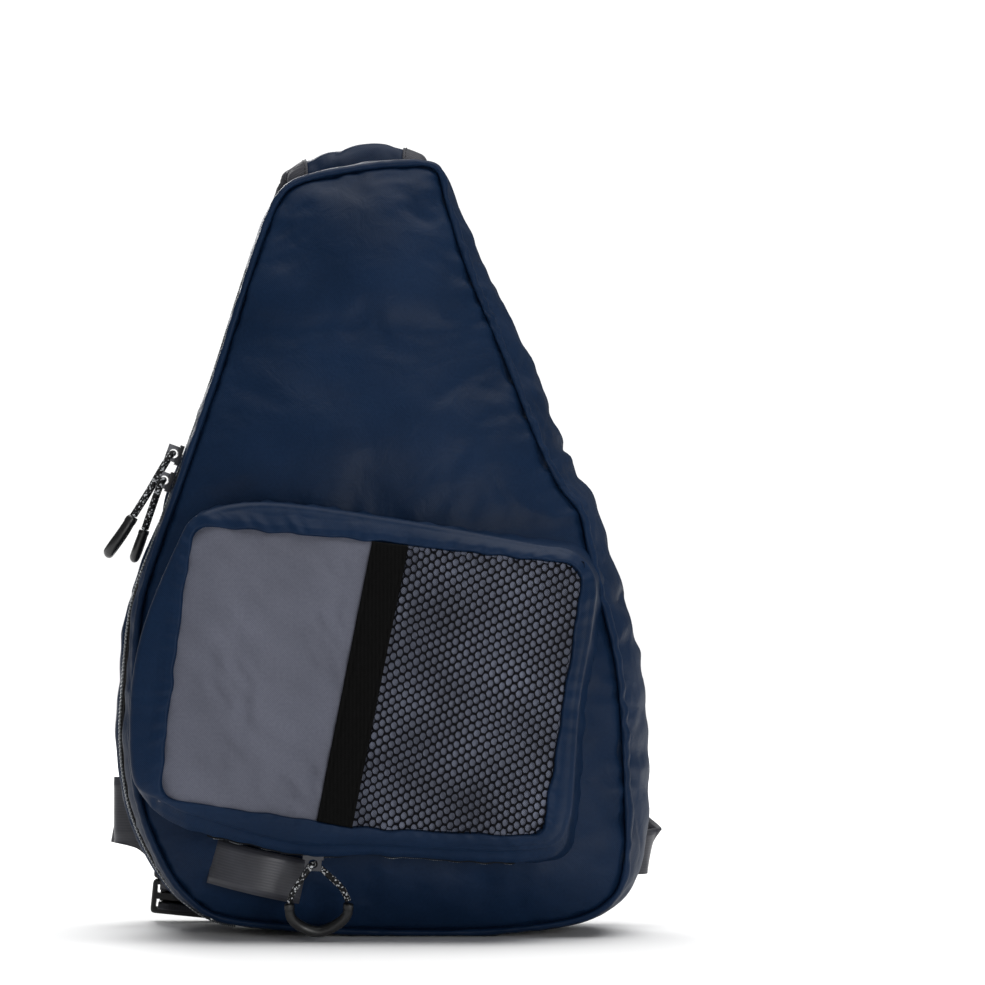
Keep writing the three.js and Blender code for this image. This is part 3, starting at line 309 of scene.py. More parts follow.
def unit(rows):
    """Rows of vectors, each made one long."""
    return rows / np.linalg.norm(rows, axis=1)[:, None]


def sampled(table, places):
    """Rows of a table at places between its rows."""
    return np.stack([np.interp(places, np.arange(len(table)), table[:, c]) for c in range(3)], -1)


def facing_out(piece):
    """Turns every face of a closed piece outwards."""
    work = bmesh.new()
    work.from_mesh(piece.data)
    bmesh.ops.recalc_face_normals(work, faces=work.faces)
    work.to_mesh(piece.data)
    work.free()


def baked(piece):
    """Applies the piece's modifiers to its mesh."""
    ready = bpy.data.meshes.new_from_object(piece.evaluated_get(bpy.context.evaluated_depsgraph_get()))
    old = piece.data
    piece.modifiers.clear()
    piece.data = ready
    bpy.data.meshes.remove(old)


def points_of(piece):
    flat = np.empty(len(piece.data.vertices) * 3)
    piece.data.vertices.foreach_get("co", flat)
    return flat.reshape(-1, 3)


def normals_of(piece):
    flat = np.empty(len(piece.data.vertices) * 3, np.float32)
    piece.data.vertex_normals.foreach_get("vector", flat)
    return flat.reshape(-1, 3).astype(float)


def set_points(piece, points):
    piece.data.vertices.foreach_set("co", np.asarray(points, np.float32).ravel())
    piece.data.update()


def swell(piece, voxel, pressure, held, cap, slack, frames=20):
    """Fills a closed piece of cloth: even mesh, then a short cloth run held by a weight per point."""
    if voxel:
        even_mesh = piece.modifiers.new("even_mesh", "REMESH")
        even_mesh.mode = "VOXEL"
        even_mesh.voxel_size = voxel
        baked(piece)
    rest = points_of(piece)
    group = piece.vertex_groups.new(name="held")
    for i, weight in enumerate(held(rest)):
        group.add([i], float(weight), "REPLACE")
    cloth = piece.modifiers.new("cloth", "CLOTH")
    cloth.settings.quality = 4
    cloth.settings.mass = 0.25
    cloth.settings.tension_stiffness = 14
    cloth.settings.compression_stiffness = 14
    cloth.settings.bending_stiffness = 0.4
    cloth.settings.use_pressure = True
    cloth.settings.uniform_pressure_force = pressure
    cloth.settings.shrink_min = -slack
    cloth.settings.vertex_group_mass = "held"
    cloth.settings.effector_weights.gravity = 0
    cloth.point_cache.frame_end = frames
    for step in range(1, frames + 1):
        scene.frame_set(step)
    ready = piece.evaluated_get(bpy.context.evaluated_depsgraph_get()).to_mesh()
    moved = np.empty(len(rest) * 3)
    ready.vertices.foreach_get("co", moved)
    move = np.nan_to_num(moved.reshape(-1, 3) - rest)
    far = np.maximum(np.linalg.norm(move, axis=1), 1e-9)[:, None]
    set_points(piece, rest + move * np.minimum(1, cap / far))
    piece.modifiers.clear()
    piece.vertex_groups.clear()
    scene.frame_set(1)
    finer = piece.modifiers.new("finer", "SUBSURF")
    finer.levels = 1
    finer.render_levels = 1
    baked(piece)
    piece.data.polygons.foreach_set("use_smooth", [True] * len(piece.data.polygons))


def ripple(points, wavelength, seed, waves=14):
    """Smooth seeded noise from -1 to 1 over rows of coordinates."""
    draw = np.random.default_rng(seed)
    points = np.asarray(points, float)
    total = np.zeros(points.shape[:-1])
    for _ in range(waves):
        way = draw.normal(size=points.shape[-1])
        way *= 2 * np.pi / (wavelength * draw.uniform(0.75, 1.5)) / np.linalg.norm(way)
        total += np.sin(points @ way + draw.uniform(0, 2 * np.pi))
    return total / math.sqrt(waves)


def nearest_on(line, points):
    """Distance of each point to a line of closely spaced points, and the index nearest to it."""
    tree_of = KDTree(len(line))
    for i, p in enumerate(line):
        tree_of.insert(p, i)
    tree_of.balance()
    found = [tree_of.find(p) for p in points]
    return np.array([f[2] for f in found]), np.array([f[1] for f in found])


turn_steps = 180
turns = np.arange(turn_steps) / turn_steps
body_rings = [panel_at(turns, ring, "front") for ring in (0.05, 0.2, 0.4, 0.6, 0.75, 0.87, 0.95)]
body_rings += [gusset_at(turns, v) for v in (0, 0.08, 0.18, 0.3, 0.42, 0.55, 0.7, 0.85, 0.95, 1)]
body_rings += [panel_at(turns, ring, "back") for ring in (0.9, 0.6, 0.3, 0.05)]
body = object_of("bag_body", np.vstack(body_rings), skin(body_rings))
facing_out(body)

seam_line = gusset_at(np.arange(outline_count) / outline_count, 0.0)
pocket_middle = np.array([-9, 137]) * mm


def body_held(points):
    """The seams, the base and what lies behind the pocket keep their place."""
    fade = 0.008
    back_from, base_below, front_before = 0.036, 0.012, -0.03
    behind_pocket = (0.105, 0.082)
    off_seam, _ = nearest_on(seam_line, points)
    held = np.exp(-(off_seam / fade) ** 2)
    held = np.maximum(held, np.clip((points[:, 1] - back_from) / fade, 0, 1))
    held = np.maximum(held, np.clip((base_below - points[:, 2]) / fade, 0, 1))
    inside = np.abs(points[:, [0, 2]] - pocket_middle) / behind_pocket
    behind = (inside.max(1) < 1) & (points[:, 1] < front_before)
    return np.clip(np.maximum(held, behind), 0, 1)


swell(body, voxel=4.6 * mm, pressure=3.5, held=body_held, cap=6 * mm, slack=0.012)

at = points_of(body)
normal = normals_of(body)
off_seam, seam_index = nearest_on(seam_line, at)
seam_reach = seam_index * outline_length / outline_count
right_side = np.clip((at[:, 0] - 0.02) / 0.05, 0, 1) * np.clip((at[:, 2] - 0.03) / 0.05, 0, 1)
high_up = np.clip((at[:, 2] - 0.12) / 0.12, 0.1, 1)
groove = -1.5 * mm * np.exp(-(off_seam / 0.0022) ** 2)
round_seam = np.stack([seam_reach, off_seam * 0.25], 1)
pucker = ripple(round_seam, 0.011, 11) * (0.5 + 0.9 * right_side) * np.exp(-off_seam / 0.009)
pucker += ripple(round_seam, 0.022, 12) * (0.4 + 0.8 * right_side) * np.exp(-off_seam / 0.018)
gusset = np.clip(1.3 - np.abs(normal[:, 1]) * 1.6, 0, 1)
side_folds = ripple(np.stack([seam_reach, at[:, 1] * 0.3], 1), 0.017, 13)
side_folds = side_folds * gusset * (0.35 + 0.65 * right_side * high_up)
panel = np.clip(-normal[:, 1] * 1.6 - 0.6, 0, 1) * np.clip(off_seam / 0.02, 0, 1)
tilted = np.stack([at[:, 0] * 1.0 + at[:, 2] * 0.42, at[:, 2] * 0.22 - at[:, 0] * 0.12], 1)
panel_folds = (0.9 * ripple(tilted, 0.075, 14) + 0.45 * ripple(at, 0.05, 15)) * panel
above_floor = np.clip(at[:, 2] / 0.012, 0, 1)
push = groove + mm * (0.75 * pucker + 1.1 * side_folds + 1.9 * panel_folds) * above_floor
before_back = np.clip((0.044 - at[:, 1]) / 0.006, 0, 1)
push *= before_back

# The slot for the zipper is a shallow channel along the left side of the gusset.
zip_setback = 24 * mm
zip_from, zip_to = 0.0735, 0.418
at_t = seam_index / outline_count
behind_seam = at[:, 1] - (back_seam - gusset_depth(outline[seam_index, 1]))
in_zip = (at_t > zip_from) & (at_t < zip_to) & (gusset > 0.2)
channel = np.clip(1 - (np.abs(behind_seam - zip_setback) / 0.0078) ** 4, 0, 1) * in_zip
push = push * (1 - 0.8 * channel) - 2.6 * mm * channel
moved = at + normal * push[:, None]
moved[:, 2] = np.maximum(moved[:, 2], 0.0002)
set_points(body, moved)


def cloth_uv(piece, index_of, length):
    """UVs in metres: x and z where cloth faces front or back, reach and depth on the gusset."""
    mesh = piece.data
    loops = np.empty(len(mesh.loops), int)
    mesh.loops.foreach_get("vertex_index", loops)
    starts = np.empty(len(mesh.polygons), int)
    mesh.polygons.foreach_get("loop_start", starts)
    facing = np.empty(len(mesh.polygons) * 3)
    mesh.polygons.foreach_get("normal", facing)
    facing = facing.reshape(-1, 3)
    counts = np.diff(np.append(starts, len(loops)))
    side = np.repeat(np.abs(facing[:, 1]) < 0.6, counts)
    place = points_of(piece)
    reach = index_of * length / outline_count
    first = np.repeat(reach[loops[starts]], counts)
    run = reach[loops]
    run = first + (run - first + length / 2) % length - length / 2
    uv = np.where(side[:, None], np.stack([run, place[loops, 1]], 1), place[loops][:, [0, 2]])
    layer = mesh.uv_layers.new(name="cut")
    layer.data.foreach_set("uv", uv.astype(np.float32).ravel())


cloth_uv(body, seam_index, outline_length)


def waves(tree, run, spacing):
    """A rise and fall from -1 to 1 at every spacing of a coordinate."""
    turned = node(tree, "Math", {"operation": "MULTIPLY"}, {0: run, 1: 2 * math.pi / spacing})
    return node(tree, "Math", {"operation": "SINE"}, {0: turned})


def woven(name, dark, light, thread, roughness, gloss, crinkle=0.6, relief=0.2, dye_and_shade_mottle=0.13, twill=0.0):
    """Plain woven cloth: threads over and under, soft creases from handling and an uneven dye; where the mottle is
    strong, its patches are also painted shade.
    """
    made, tree, shader = finish_of(name, roughness, gloss=gloss)
    cut = node(tree, "UVMap", {"uv_map": "cut"})
    parts = node(tree, "SeparateXYZ", inputs={0: cut})
    slant = node(tree, "Math", {"operation": "MULTIPLY_ADD"},
                 {0: parts.outputs["Y"], 1: twill, 2: parts.outputs["X"]})
    warp = waves(tree, slant, 2 * thread)
    weft = waves(tree, parts.outputs["Y"], 2 * thread)
    knit = node(tree, "Math", {"operation": "MULTIPLY"}, {0: warp, 1: weft})
    knit = node(tree, "Math", {"operation": "MULTIPLY_ADD"}, {0: knit, 1: 0.5, 2: 0.5})
    thick = node(tree, "TexNoise", inputs={"Vector": cut, "Scale": 0.35 / thread, "Detail": 3.0})
    patches = node(tree, "TexNoise", inputs={"Vector": cut, "Scale": 22.0, "Detail": 2.0})
    blend = node(tree, "Math", {"operation": "MULTIPLY_ADD"}, {0: thick, 1: 0.7, 2: -0.35})
    blend = node(tree, "Math", {"operation": "ADD"}, {0: blend, 1: knit})
    shade = node(tree, "ValToRGB", {"stops": [(0.0, dark), (1.0, light)]}, {"Fac": blend})
    dye_and_shade = node(tree, "MapRange", inputs={
        "Value": patches, "From Min": 0.3, "From Max": 0.7, "To Min": 1 - dye_and_shade_mottle, "To Max": 1 + dye_and_shade_mottle})
    dyed_and_shaded = node(tree, "HueSaturation", inputs={"Value": dye_and_shade, "Color": shade})
    feed(tree, shader, {"Base Color": dyed_and_shaded})
    worn = node(tree, "MapRange", inputs={
        "Value": patches, "To Min": roughness - 0.08, "To Max": roughness + 0.08})
    feed(tree, shader, {"Roughness": worn})
    creases = node(tree, "TexNoise", inputs={
        "Vector": cut, "Scale": 70.0, "Detail": 4.0, "Roughness": 0.55, "Distortion": 0.6})
    soft = node(tree, "Bump", inputs={"Strength": crinkle, "Distance": 1.2 * mm, "Height": creases})
    threads = node(tree, "Bump", inputs={
        "Strength": relief, "Distance": 0.35 * thread, "Height": knit, "Normal": soft})
    feed(tree, shader, {"Normal": threads})
    return made


# Coated oxford polyester, woven from 0.55 mm yarn. Its threads lie so close that they show only
# as a fine grain; a smooth coating gives a low soft gloss that follows the folds.
navy_oxford = woven("navy_oxford_polyester", "09192f", "13263f", 0.55 * mm, 0.47, 0.09)
body.data.materials.append(navy_oxford)
belongs(body, "body_shell")


# Rolled seam of the front panel: when the sewn bag is turned right side out, the edge of the
# gusset rolls up beside the seam as a soft cord of cloth, gathered where the curve is tight. It
# leaves a sharp dark crease against the front panel.
roll_steps, roll_sides = 1000, 14
roll_turns = np.arange(roll_steps) / roll_steps
roll_reach = roll_turns * outline_length
seam_at = gusset_at(roll_turns, 0.0)
behind = gusset_at(roll_turns, 0.07)
down_side = unit(behind - seam_at)
run = unit(np.roll(seam_at, -2, 0) - np.roll(seam_at, 2, 0))
off_side = np.cross(down_side, run)
middle_out = seam_at - np.array([0, 0, 0.2])
off_side *= np.sign((off_side * (middle_out * (1, 0, 1))).sum(1))[:, None]
strain = 0.45 + 0.9 * np.clip(seam_at[:, 0] / 0.05, 0, 1) * np.clip(seam_at[:, 2] / 0.05, 0, 1)
closing = 2 * np.pi * roll_turns
round_trip = np.stack([np.cos(closing), np.sin(closing)], 1) * outline_length / (2 * np.pi)
tight = ripple(round_trip, 0.0095, 16) * strain
loose = ripple(round_trip, 0.028, 17) * strain
roll_rings = []
wide = 3.1 * mm + 0.35 * mm * loose
high = 1.9 * mm + mm * (0.28 * tight + 0.2 * loose)
centre = seam_at + down_side * (wide - 0.7 * mm)[:, None] + off_side * (0.25 * mm) - (0, 0.9 * mm, 0)
centre = centre + down_side * (0.35 * mm * tight)[:, None]
for angle in np.linspace(0, 2 * math.pi, roll_sides, endpoint=False):
    ring = centre + down_side * (math.cos(angle) * wide)[:, None]
    ring = ring + off_side * (math.sin(angle) * high)[:, None]
    ring[:, 2] = np.maximum(ring[:, 2], 0.0003)
    roll_rings.append(ring)
roll_faces, roll_uv = [], []
for a in range(roll_sides):
    row, above = a * roll_steps, (a + 1) % roll_sides * roll_steps
    for i in range(roll_steps):
        nxt = (i + 1) % roll_steps
        roll_faces.append((row + i, row + nxt, above + nxt, above + i))
        ahead = roll_reach[i] + outline_length / roll_steps
        roll_uv += [(roll_reach[i], a * 1.1 * mm), (ahead, a * 1.1 * mm),
                    (ahead, (a + 1) * 1.1 * mm), (roll_reach[i], (a + 1) * 1.1 * mm)]
seam_roll = object_of("front_seam_roll", np.vstack(roll_rings), roll_faces, navy_oxford, roll_uv)
facing_out(seam_roll)
belongs(seam_roll)


# Main zipper: two woven tapes with a nylon coil between them, sewn into the channel of the gusset
# on the left. The coil is a row of small closely set teeth that shines a little.
tape_half = 5.9 * mm
zip_turns = np.linspace(zip_from + 0.002, zip_to - 0.002, 260)


def zip_point(t, back, rise):
    v = back / gusset_depth(gusset_at(t, 0.2)[..., 2])
    return gusset_at(t, v, rise)


def ribbon(name, rails, thickness, surface):
    """A strip between two or more rails of points, given a thickness; UVs in metres along it."""
    rails = np.asarray(rails)
    columns, count = len(rails), len(rails[0])
    step = np.gradient(rails, axis=1)
    across = np.gradient(rails, axis=0)
    out = np.cross(across, step)
    out /= np.maximum(np.linalg.norm(out, axis=2), 1e-12)[..., None]
    rings = []
    for i in range(count):
        upper = rails[:, i] + out[:, i] * thickness / 2
        lower = (rails[:, i] - out[:, i] * thickness / 2)[::-1]
        rings.append(np.vstack([upper, lower]))
    faces = skin(rings)
    reach = reach_along(rails[columns // 2])
    width = reach_along(rails[:, count // 2])
    size = 2 * columns
    spread = np.concatenate([width, width[::-1]])
    uv = [(spread[corner % size], reach[corner // size]) for face in faces for corner in face]
    made = object_of(name, np.vstack(rings), faces, surface, uv)
    facing_out(made)
    return made


zip_tape_weave = woven("zip_tape_black_polyester", "060607", "151618", 0.7 * mm, 0.75, 0.1, crinkle=0.1)
tape_rails = [zip_point(zip_turns, zip_setback + share * tape_half, -0.9 * mm)
              for share in (-1, -0.66, -0.33, 0, 0.33, 0.66, 1)]
zip_tape = ribbon("main_zip_tape", tape_rails, 0.9 * mm, zip_tape_weave)
belongs(zip_tape, "main_zipper")

# Nylon coil, extruded and heat-set: dark grey with a soft plastic gloss on each tooth. Light grey specks in its
# colour are painted highlights on the teeth.
coil_nylon, tree, shader = finish_of("zip_coil_nylon_black", 0.34, ior=1.53)
# Painted highlight: noise mixes light grey specks into the coil's dark grey.
coil_glint_specks = node(tree, "TexNoise", inputs={"Scale": 900.0, "Detail": 1.0})
tone = node(tree, "ValToRGB", {"stops": [(0.0, "4c5054"), (1.0, "868b8f")]}, {"Fac": coil_glint_specks})
feed(tree, shader, {"Base Color": tone})


def small_bars(name, rings, surface):
    """Closed six-sided bars in one piece, four rings each: middle, two directions, radius in mm."""
    angle = np.linspace(0, 2 * math.pi, 6, endpoint=False)[:, None]
    points = np.vstack([middle + (one * np.cos(angle) + other * np.sin(angle)) * radius * mm
                        for middle, one, other, radius in rings])
    faces = [face for first in range(0, len(points), 24) for face in skin([range(6)] * 4, first)]
    made = object_of(name, points, faces, surface)
    facing_out(made)
    belongs(made)


tooth_pitch = 1.05 * mm
tooth_rise = 0.4 * mm
tooth_shape = ((-0.5, 0.55), (0.3, 0.62), (2.1, 0.5), (2.5, 0.25))
tooth_count = int((zip_to - zip_from) * outline_length / tooth_pitch)
teeth = []
for k, t in enumerate(np.linspace(zip_from + 0.004, zip_to - 0.004, tooth_count)):
    side = 1 if k % 2 else -1
    here = zip_point(t, zip_setback, tooth_rise)
    step = zip_point(t + 0.0004, zip_setback, tooth_rise) - here
    step /= np.linalg.norm(step)
    over = zip_point(t, zip_setback + 0.5 * mm, tooth_rise) - here
    over -= step * (over @ step)
    over /= np.linalg.norm(over)
    teeth += [(here + over * side * reach * mm, step, np.cross(over, step), radius)
              for reach, radius in tooth_shape]
small_bars("main_zip_coil", teeth, coil_nylon)


# Back panel: black spacer mesh over foam, sewn in along the back seam. The foam fills it to a
# soft pillow, and the knit shows as rows of small open cells.
back_rings = [panel_at(turns, 0.3, "back"), panel_at(turns, 0.985, "back")]
foam_profile = ((1.0, 1.2), (1.0, 3.0), (0.985, 4.6), (0.96, 6.2), (0.9, 7.6), (0.8, 8.2), (0.5, 8.5),
                (0.2, 8.5))
for ring, rise in foam_profile:
    edge = panel_at(turns, ring, "back")
    edge[:, 1] += rise * mm
    back_rings.append(edge)
for edge in back_rings[:2]:
    edge[:, 1] += 0.4 * mm
back = object_of("back_mesh_panel", np.vstack(back_rings), skin(back_rings))
facing_out(back)
swell(back, voxel=4.4 * mm, pressure=2.0, cap=2.5 * mm, slack=0.01,
      held=lambda points: np.clip((0.0515 - points[:, 1]) / 0.002, 0, 1))
at = points_of(back)
normal = normals_of(back)
face_on = np.clip(normal[:, 1] * 1.4 - 0.4, 0, 1)
back_seam_line = gusset_at(np.arange(outline_count) / outline_count, 1.0)
off_back, back_index = nearest_on(back_seam_line, at * (1, 0, 1) + (0, back_seam, 0))
push = face_on * (0.5 * ripple(at, 0.05, 21) + 0.25 * ripple(at, 0.022, 22))
push -= face_on * 1.6 * np.exp(-((off_back - 0.011) / 0.0022) ** 2)
moved = at + normal * (push * mm)[:, None]
moved[:, 1] = np.clip(moved[:, 1], back_seam + 0.3 * mm, 0.0572)
set_points(back, moved)
cloth_uv(back, back_index, outline_length)

# Spacer mesh, warp knitted in black polyester with 1.6 mm cells: quite matt, with each cell a dark pit between
# slightly lighter yarns. The darkness of each pit is painted shade.
spacer_mesh, tree, shader = finish_of("spacer_mesh_black_polyester", 0.9, gloss=0.04)
cut = node(tree, "UVMap", {"uv_map": "cut"})
cells = node(tree, "TexVoronoi", {"feature": "F1"},
             {"Vector": cut, "Scale": 1 / (1.6 * mm), "Randomness": 0.2})
# Painted shade: the colour darkens towards the middle of each open cell.
cell_pit_shade = node(tree, "ValToRGB", {"stops": [(0.22, "0a0a0b"), (0.42, "242426")]}, {"Fac": cells})
feed(tree, shader, {"Base Color": cell_pit_shade})
yarn = node(tree, "TexNoise", inputs={"Vector": cut, "Scale": 1500.0, "Detail": 2.0})
raised = node(tree, "Math", {"operation": "MULTIPLY_ADD"},
              {0: yarn, 1: 0.2, 2: cell_pit_shade})
dips = node(tree, "Bump", inputs={"Strength": 0.8, "Distance": 0.7 * mm, "Height": cells})
fuzz = node(tree, "Bump", inputs={"Strength": 0.3, "Distance": 0.2 * mm, "Height": raised,
                                            "Normal": dips})
feed(tree, shader, {"Normal": fuzz})
back.data.materials.append(spacer_mesh)
belongs(back, "back_panel")


# Front pocket: a bellows of navy polyester sewn on the front panel, its face framed by a turned
# border. It stands out more at its lower edge, where it is full, than at its upper one.
pocket_half = 120 * mm
pocket_tall = 185 * mm
proud_top, proud_bottom, pocket_pillow = 17 * mm, 33 * mm, 9 * mm
pocket_rows = np.array([
    (0.06, -0.487), (-0.27, -0.482), (-0.575, -0.444), (-0.83, -0.394), (-0.975, -0.3),
    (-1.008, -0.114), (-0.965, 0.121), (-0.81, 0.383), (-0.74, 0.463), (-0.62, 0.497),
    (-0.425, 0.511), (0.16, 0.463), (0.76, 0.392), (0.93, 0.37), (1.02, 0.295), (1.01, 0.16),
    (0.955, -0.055), (0.91, -0.4), (0.87, -0.475), (0.75, -0.5),
]) * (pocket_half, pocket_tall)
pocket_count = 560
pocket_edge, pocket_length = even(curve_through(pocket_rows, True, 40), pocket_count, True)
edge_angle = np.unwrap(np.arctan2(pocket_edge[:, 1], pocket_edge[:, 0]))
edge_angle, edge_reach = edge_angle[::-1], np.linalg.norm(pocket_edge, axis=1)[::-1]
face_at_middle = back_seam - float(gusset_depth(np.array(pocket_middle[1]))) - front_pillow


def pocket_face(x, z, lift=0.0):
    """Y of the pocket's filled face at x and z, which are measured from the pocket's middle."""
    angle = np.arctan2(z, x)
    turn_low = edge_angle[0]
    angle = turn_low + (angle - turn_low) % (2 * np.pi)
    reach = np.interp(angle, np.append(edge_angle, edge_angle[0] + 2 * np.pi),
                      np.append(edge_reach, edge_reach[0]))
    share = np.minimum(np.hypot(x, z) / reach, 1.02)
    rise = np.clip(z / pocket_tall + 0.5, 0, 1)
    proud = proud_bottom + (proud_top - proud_bottom) * rise
    pillow = np.clip(1 - (share / 0.975) ** 3.0, 0, 1)
    return face_at_middle - proud - pocket_pillow * pillow - lift


window_corners = {
    "panel": [(-0.74, 0.441), (0.045, 0.4), (-0.185, -0.385), (-0.87, -0.325)],
    "tape": [(0.045, 0.4), (0.205, 0.387), (-0.03, -0.405), (-0.185, -0.385)],
    "net": [(0.205, 0.387), (0.965, 0.335), (0.8, -0.43), (-0.03, -0.405)],
}
window_ring = [window_corners["panel"][0], window_corners["panel"][1], window_corners["net"][0],
               window_corners["net"][1], window_corners["net"][2], window_corners["net"][3],
               window_corners["panel"][2], window_corners["panel"][3]]
window_ring = np.array(window_ring) * (pocket_half, pocket_tall)
corner_radius = 7 * mm
window_core = window_ring + corner_radius * np.array([
    (1, -1), (0, -1), (0, -1), (-1, -1), (-1, 1), (0, 1), (0, 1), (1, 1)])


def outside_by(ring, points):
    """Signed distance of points to a many-sided ring, positive outside it."""
    best = np.full(len(points), 1e9)
    inside = np.zeros(len(points), bool)
    for a, b in zip(ring, np.roll(ring, -1, 0)):
        run = b - a
        share = np.clip(((points - a) @ run) / (run @ run), 0, 1)
        best = np.minimum(best, np.linalg.norm(points - a - share[:, None] * run, axis=1))
        crosses = (a[1] > points[:, 1]) != (b[1] > points[:, 1])
        with np.errstate(divide="ignore", invalid="ignore"):
            inside ^= crosses & (points[:, 0] < a[0] + (points[:, 1] - a[1]) * run[0] / run[1])
    return np.where(inside, -best, best)


body_tree = BVHTree.FromObject(body, bpy.context.evaluated_depsgraph_get())


def on_body(x, z, otherwise=0.0):
    """Y of the bag's front at x and z, seen along +Y."""
    hit = body_tree.ray_cast(Vector((x, -0.4, z)), Vector((0, 1, 0)))[0]
    return hit.y if hit else otherwise


def drawn_up(flat):
    """How far the lower edge of the pocket's face is drawn up by the fullness under it."""
    left = np.clip(-flat[:, 0] / pocket_half * 2.5 - 0.8, 0, 1)
    low = np.clip((-flat[:, 1] / pocket_tall - 0.34 + 0.07 * left) / 0.13, 0, 1)
    return (5.5 + 3.5 * left) * mm * low * low * (3 - 2 * low)


edge_right = np.clip(pocket_edge[:, 0] / pocket_half * 2 - 0.6, 0, 1)
edge_low = np.clip(-pocket_edge[:, 1] / pocket_tall * 4 - 1.2, 0, 1)
pocket_shares = list(np.linspace(0.06, 0.7, 9)) + list(np.linspace(0.72, 0.985, 44))
pocket_rings = []
reach_round = np.arange(pocket_count) * pocket_length / pocket_count
for share in pocket_shares:
    flat = pocket_edge * share
    flat = flat + np.stack([flat[:, 0] * 0, drawn_up(flat)], 1)
    beyond = outside_by(window_core, flat) - corner_radius
    beyond = beyond + 0.5 * mm * ripple(flat, 0.017, 35) * (share > 0.3)
    hem = np.clip((beyond + 0.5 * mm) / (1.8 * mm), 0, 1)
    border = hem * np.clip((7.5 * mm - beyond) / 0.006 + 0.6, 0.2, 1)
    gathers = ripple(np.stack([reach_round, flat[:, 0] * 0 + share * 0.02], 1), 0.0085, 31)
    broad = ripple(flat, 0.03, 32)
    lift = 1.5 * mm * border + mm * border * (0.35 * gathers + 0.3 * broad)
    y = pocket_face(flat[:, 0], flat[:, 1], lift) + 4.2 * mm * (1 - hem)
    y += np.clip((share - 0.93) / 0.055, 0, 1) ** 2 * mm * (1.0 + 3.0 * edge_right + 1.5 * edge_low)
    pocket_rings.append(np.stack([flat[:, 0], y, flat[:, 1]], 1))
edge_y = pocket_rings[-1][:, 1]
edge_rise = np.stack([edge_low * 0, drawn_up(pocket_edge)], 1)
for share, back_by in ((0.996, 0.9), (1.004, 2.2), (1.008, 4.0)):
    flat = pocket_edge * share + edge_rise
    pocket_rings.append(np.stack([flat[:, 0], edge_y + back_by * mm, flat[:, 1]], 1))
wall_start = pocket_rings[-1][:, 1]
splay = 1.012 + 0.035 * edge_right[:, None]
wall_end = np.array([on_body(*(pocket_middle + p), -0.05) for p in pocket_edge * splay]) + 1.5 * mm
for k in range(1, 17):
    share = k / 16
    y = wall_start * (1 - share) + wall_end * share
    tuck = math.sin(share * math.pi)
    gathers = ripple(np.stack([reach_round, y * 0.35], 1), 0.013, 33)
    folds = ripple(np.stack([reach_round, y], 1), 0.04, 34)
    gathered = 0.9 * gathers * min(1, 3 * share) + 0.9 * folds * tuck
    out = (-1.4 * tuck + gathered * (1 - 0.6 * edge_right)) * mm
    reach = np.linalg.norm(pocket_edge, axis=1)[:, None]
    settled = min(1, share * 7)
    lip = np.stack([edge_low * 0, -1.8 * mm * math.exp(-((share - 0.12) / 0.06) ** 2) * edge_low], 1)
    flat = pocket_edge * (1.008 + (splay - 1.008) * share + out[:, None] / reach)
    flat = flat + edge_rise * (1 - settled) + lip
    pocket_rings.append(np.stack([flat[:, 0], y, flat[:, 1]], 1))
pocket_points = np.vstack(pocket_rings) + (pocket_middle[0], 0, pocket_middle[1])
pocket_faces = skin(pocket_rings)
side_from = (len(pocket_shares) + 2) * pocket_count
uv = []
wall_depth = pocket_points[:, 1]
for face in pocket_faces:
    if min(face) >= side_from and len(face) == 4:
        start = reach_round[face[0] % pocket_count]
        for corner in face:
            run = reach_round[corner % pocket_count]
            uv.append((start + (run - start + pocket_length / 2) % pocket_length - pocket_length / 2,
                       wall_depth[corner]))
    else:
        for corner in face:
            uv.append((pocket_points[corner, 0], pocket_points[corner, 2]))
pocket = object_of("front_pocket_bellows", pocket_points, pocket_faces, navy_oxford, uv)
facing_out(pocket)
belongs(pocket, "pocket_shell")


# Grey panel, left half of the pocket's face: a woven polyester patch sewn in under the border,
# slightly filled by what is behind it, so that it swells between its four seams.
def patch_grid(corners, across, down, grow):
    """Rows of x and z between four corners, the whole grown outwards by grow."""
    c = np.array(corners) * (pocket_half, pocket_tall)
    c = c + np.sign(c - c.mean(0)) * grow
    u, v = np.meshgrid(np.linspace(0, 1, across), np.linspace(0, 1, down))
    flat = ((1 - u)[..., None] * (1 - v)[..., None] * c[0] + u[..., None] * (1 - v)[..., None] * c[1]
            + u[..., None] * v[..., None] * c[2] + (1 - u)[..., None] * v[..., None] * c[3])
    return flat, u, v


def patch(name, corners, grow, cells, height_at, thickness, surface, stands_for):
    """A sewn patch of the pocket's face with a thickness: height_at gives how far it stands out."""
    flat, u, v = patch_grid(corners, cells[0], cells[1], grow)
    lift = height_at(flat, u, v)
    y = pocket_face(flat[..., 0], flat[..., 1], lift)
    front = np.stack([flat[..., 0] + pocket_middle[0], y, flat[..., 1] + pocket_middle[1]], -1)
    rear = front + (0, thickness, 0)
    rows, columns = cells[1], cells[0]
    points = np.vstack([front.reshape(-1, 3), rear.reshape(-1, 3)])
    faces = []
    half = rows * columns
    for r in range(rows - 1):
        for c in range(columns - 1):
            a = r * columns + c
            faces.append((a, a + columns, a + columns + 1, a + 1))
            faces.append((half + a, half + a + 1, half + a + columns + 1, half + a + columns))
    rim = [c for c in range(columns)] + [r * columns + columns - 1 for r in range(1, rows)]
    rim += [(rows - 1) * columns + c for c in range(columns - 2, -1, -1)]
    rim += [r * columns for r in range(rows - 2, 0, -1)]
    for a, b in zip(rim, rim[1:] + rim[:1]):
        faces.append((a, b, half + b, half + a))
    uv = [(points[corner][0], points[corner][2]) for face in faces for corner in face]
    made = object_of(name, points, faces, surface, uv)
    facing_out(made)
    belongs(made, stands_for)
    return made


def seam_fall(u, v, width, tall):
    """Distance to the nearest edge of a patch, in metres."""
    return np.minimum(np.minimum(u, 1 - u) * width, np.minimum(v, 1 - v) * tall)


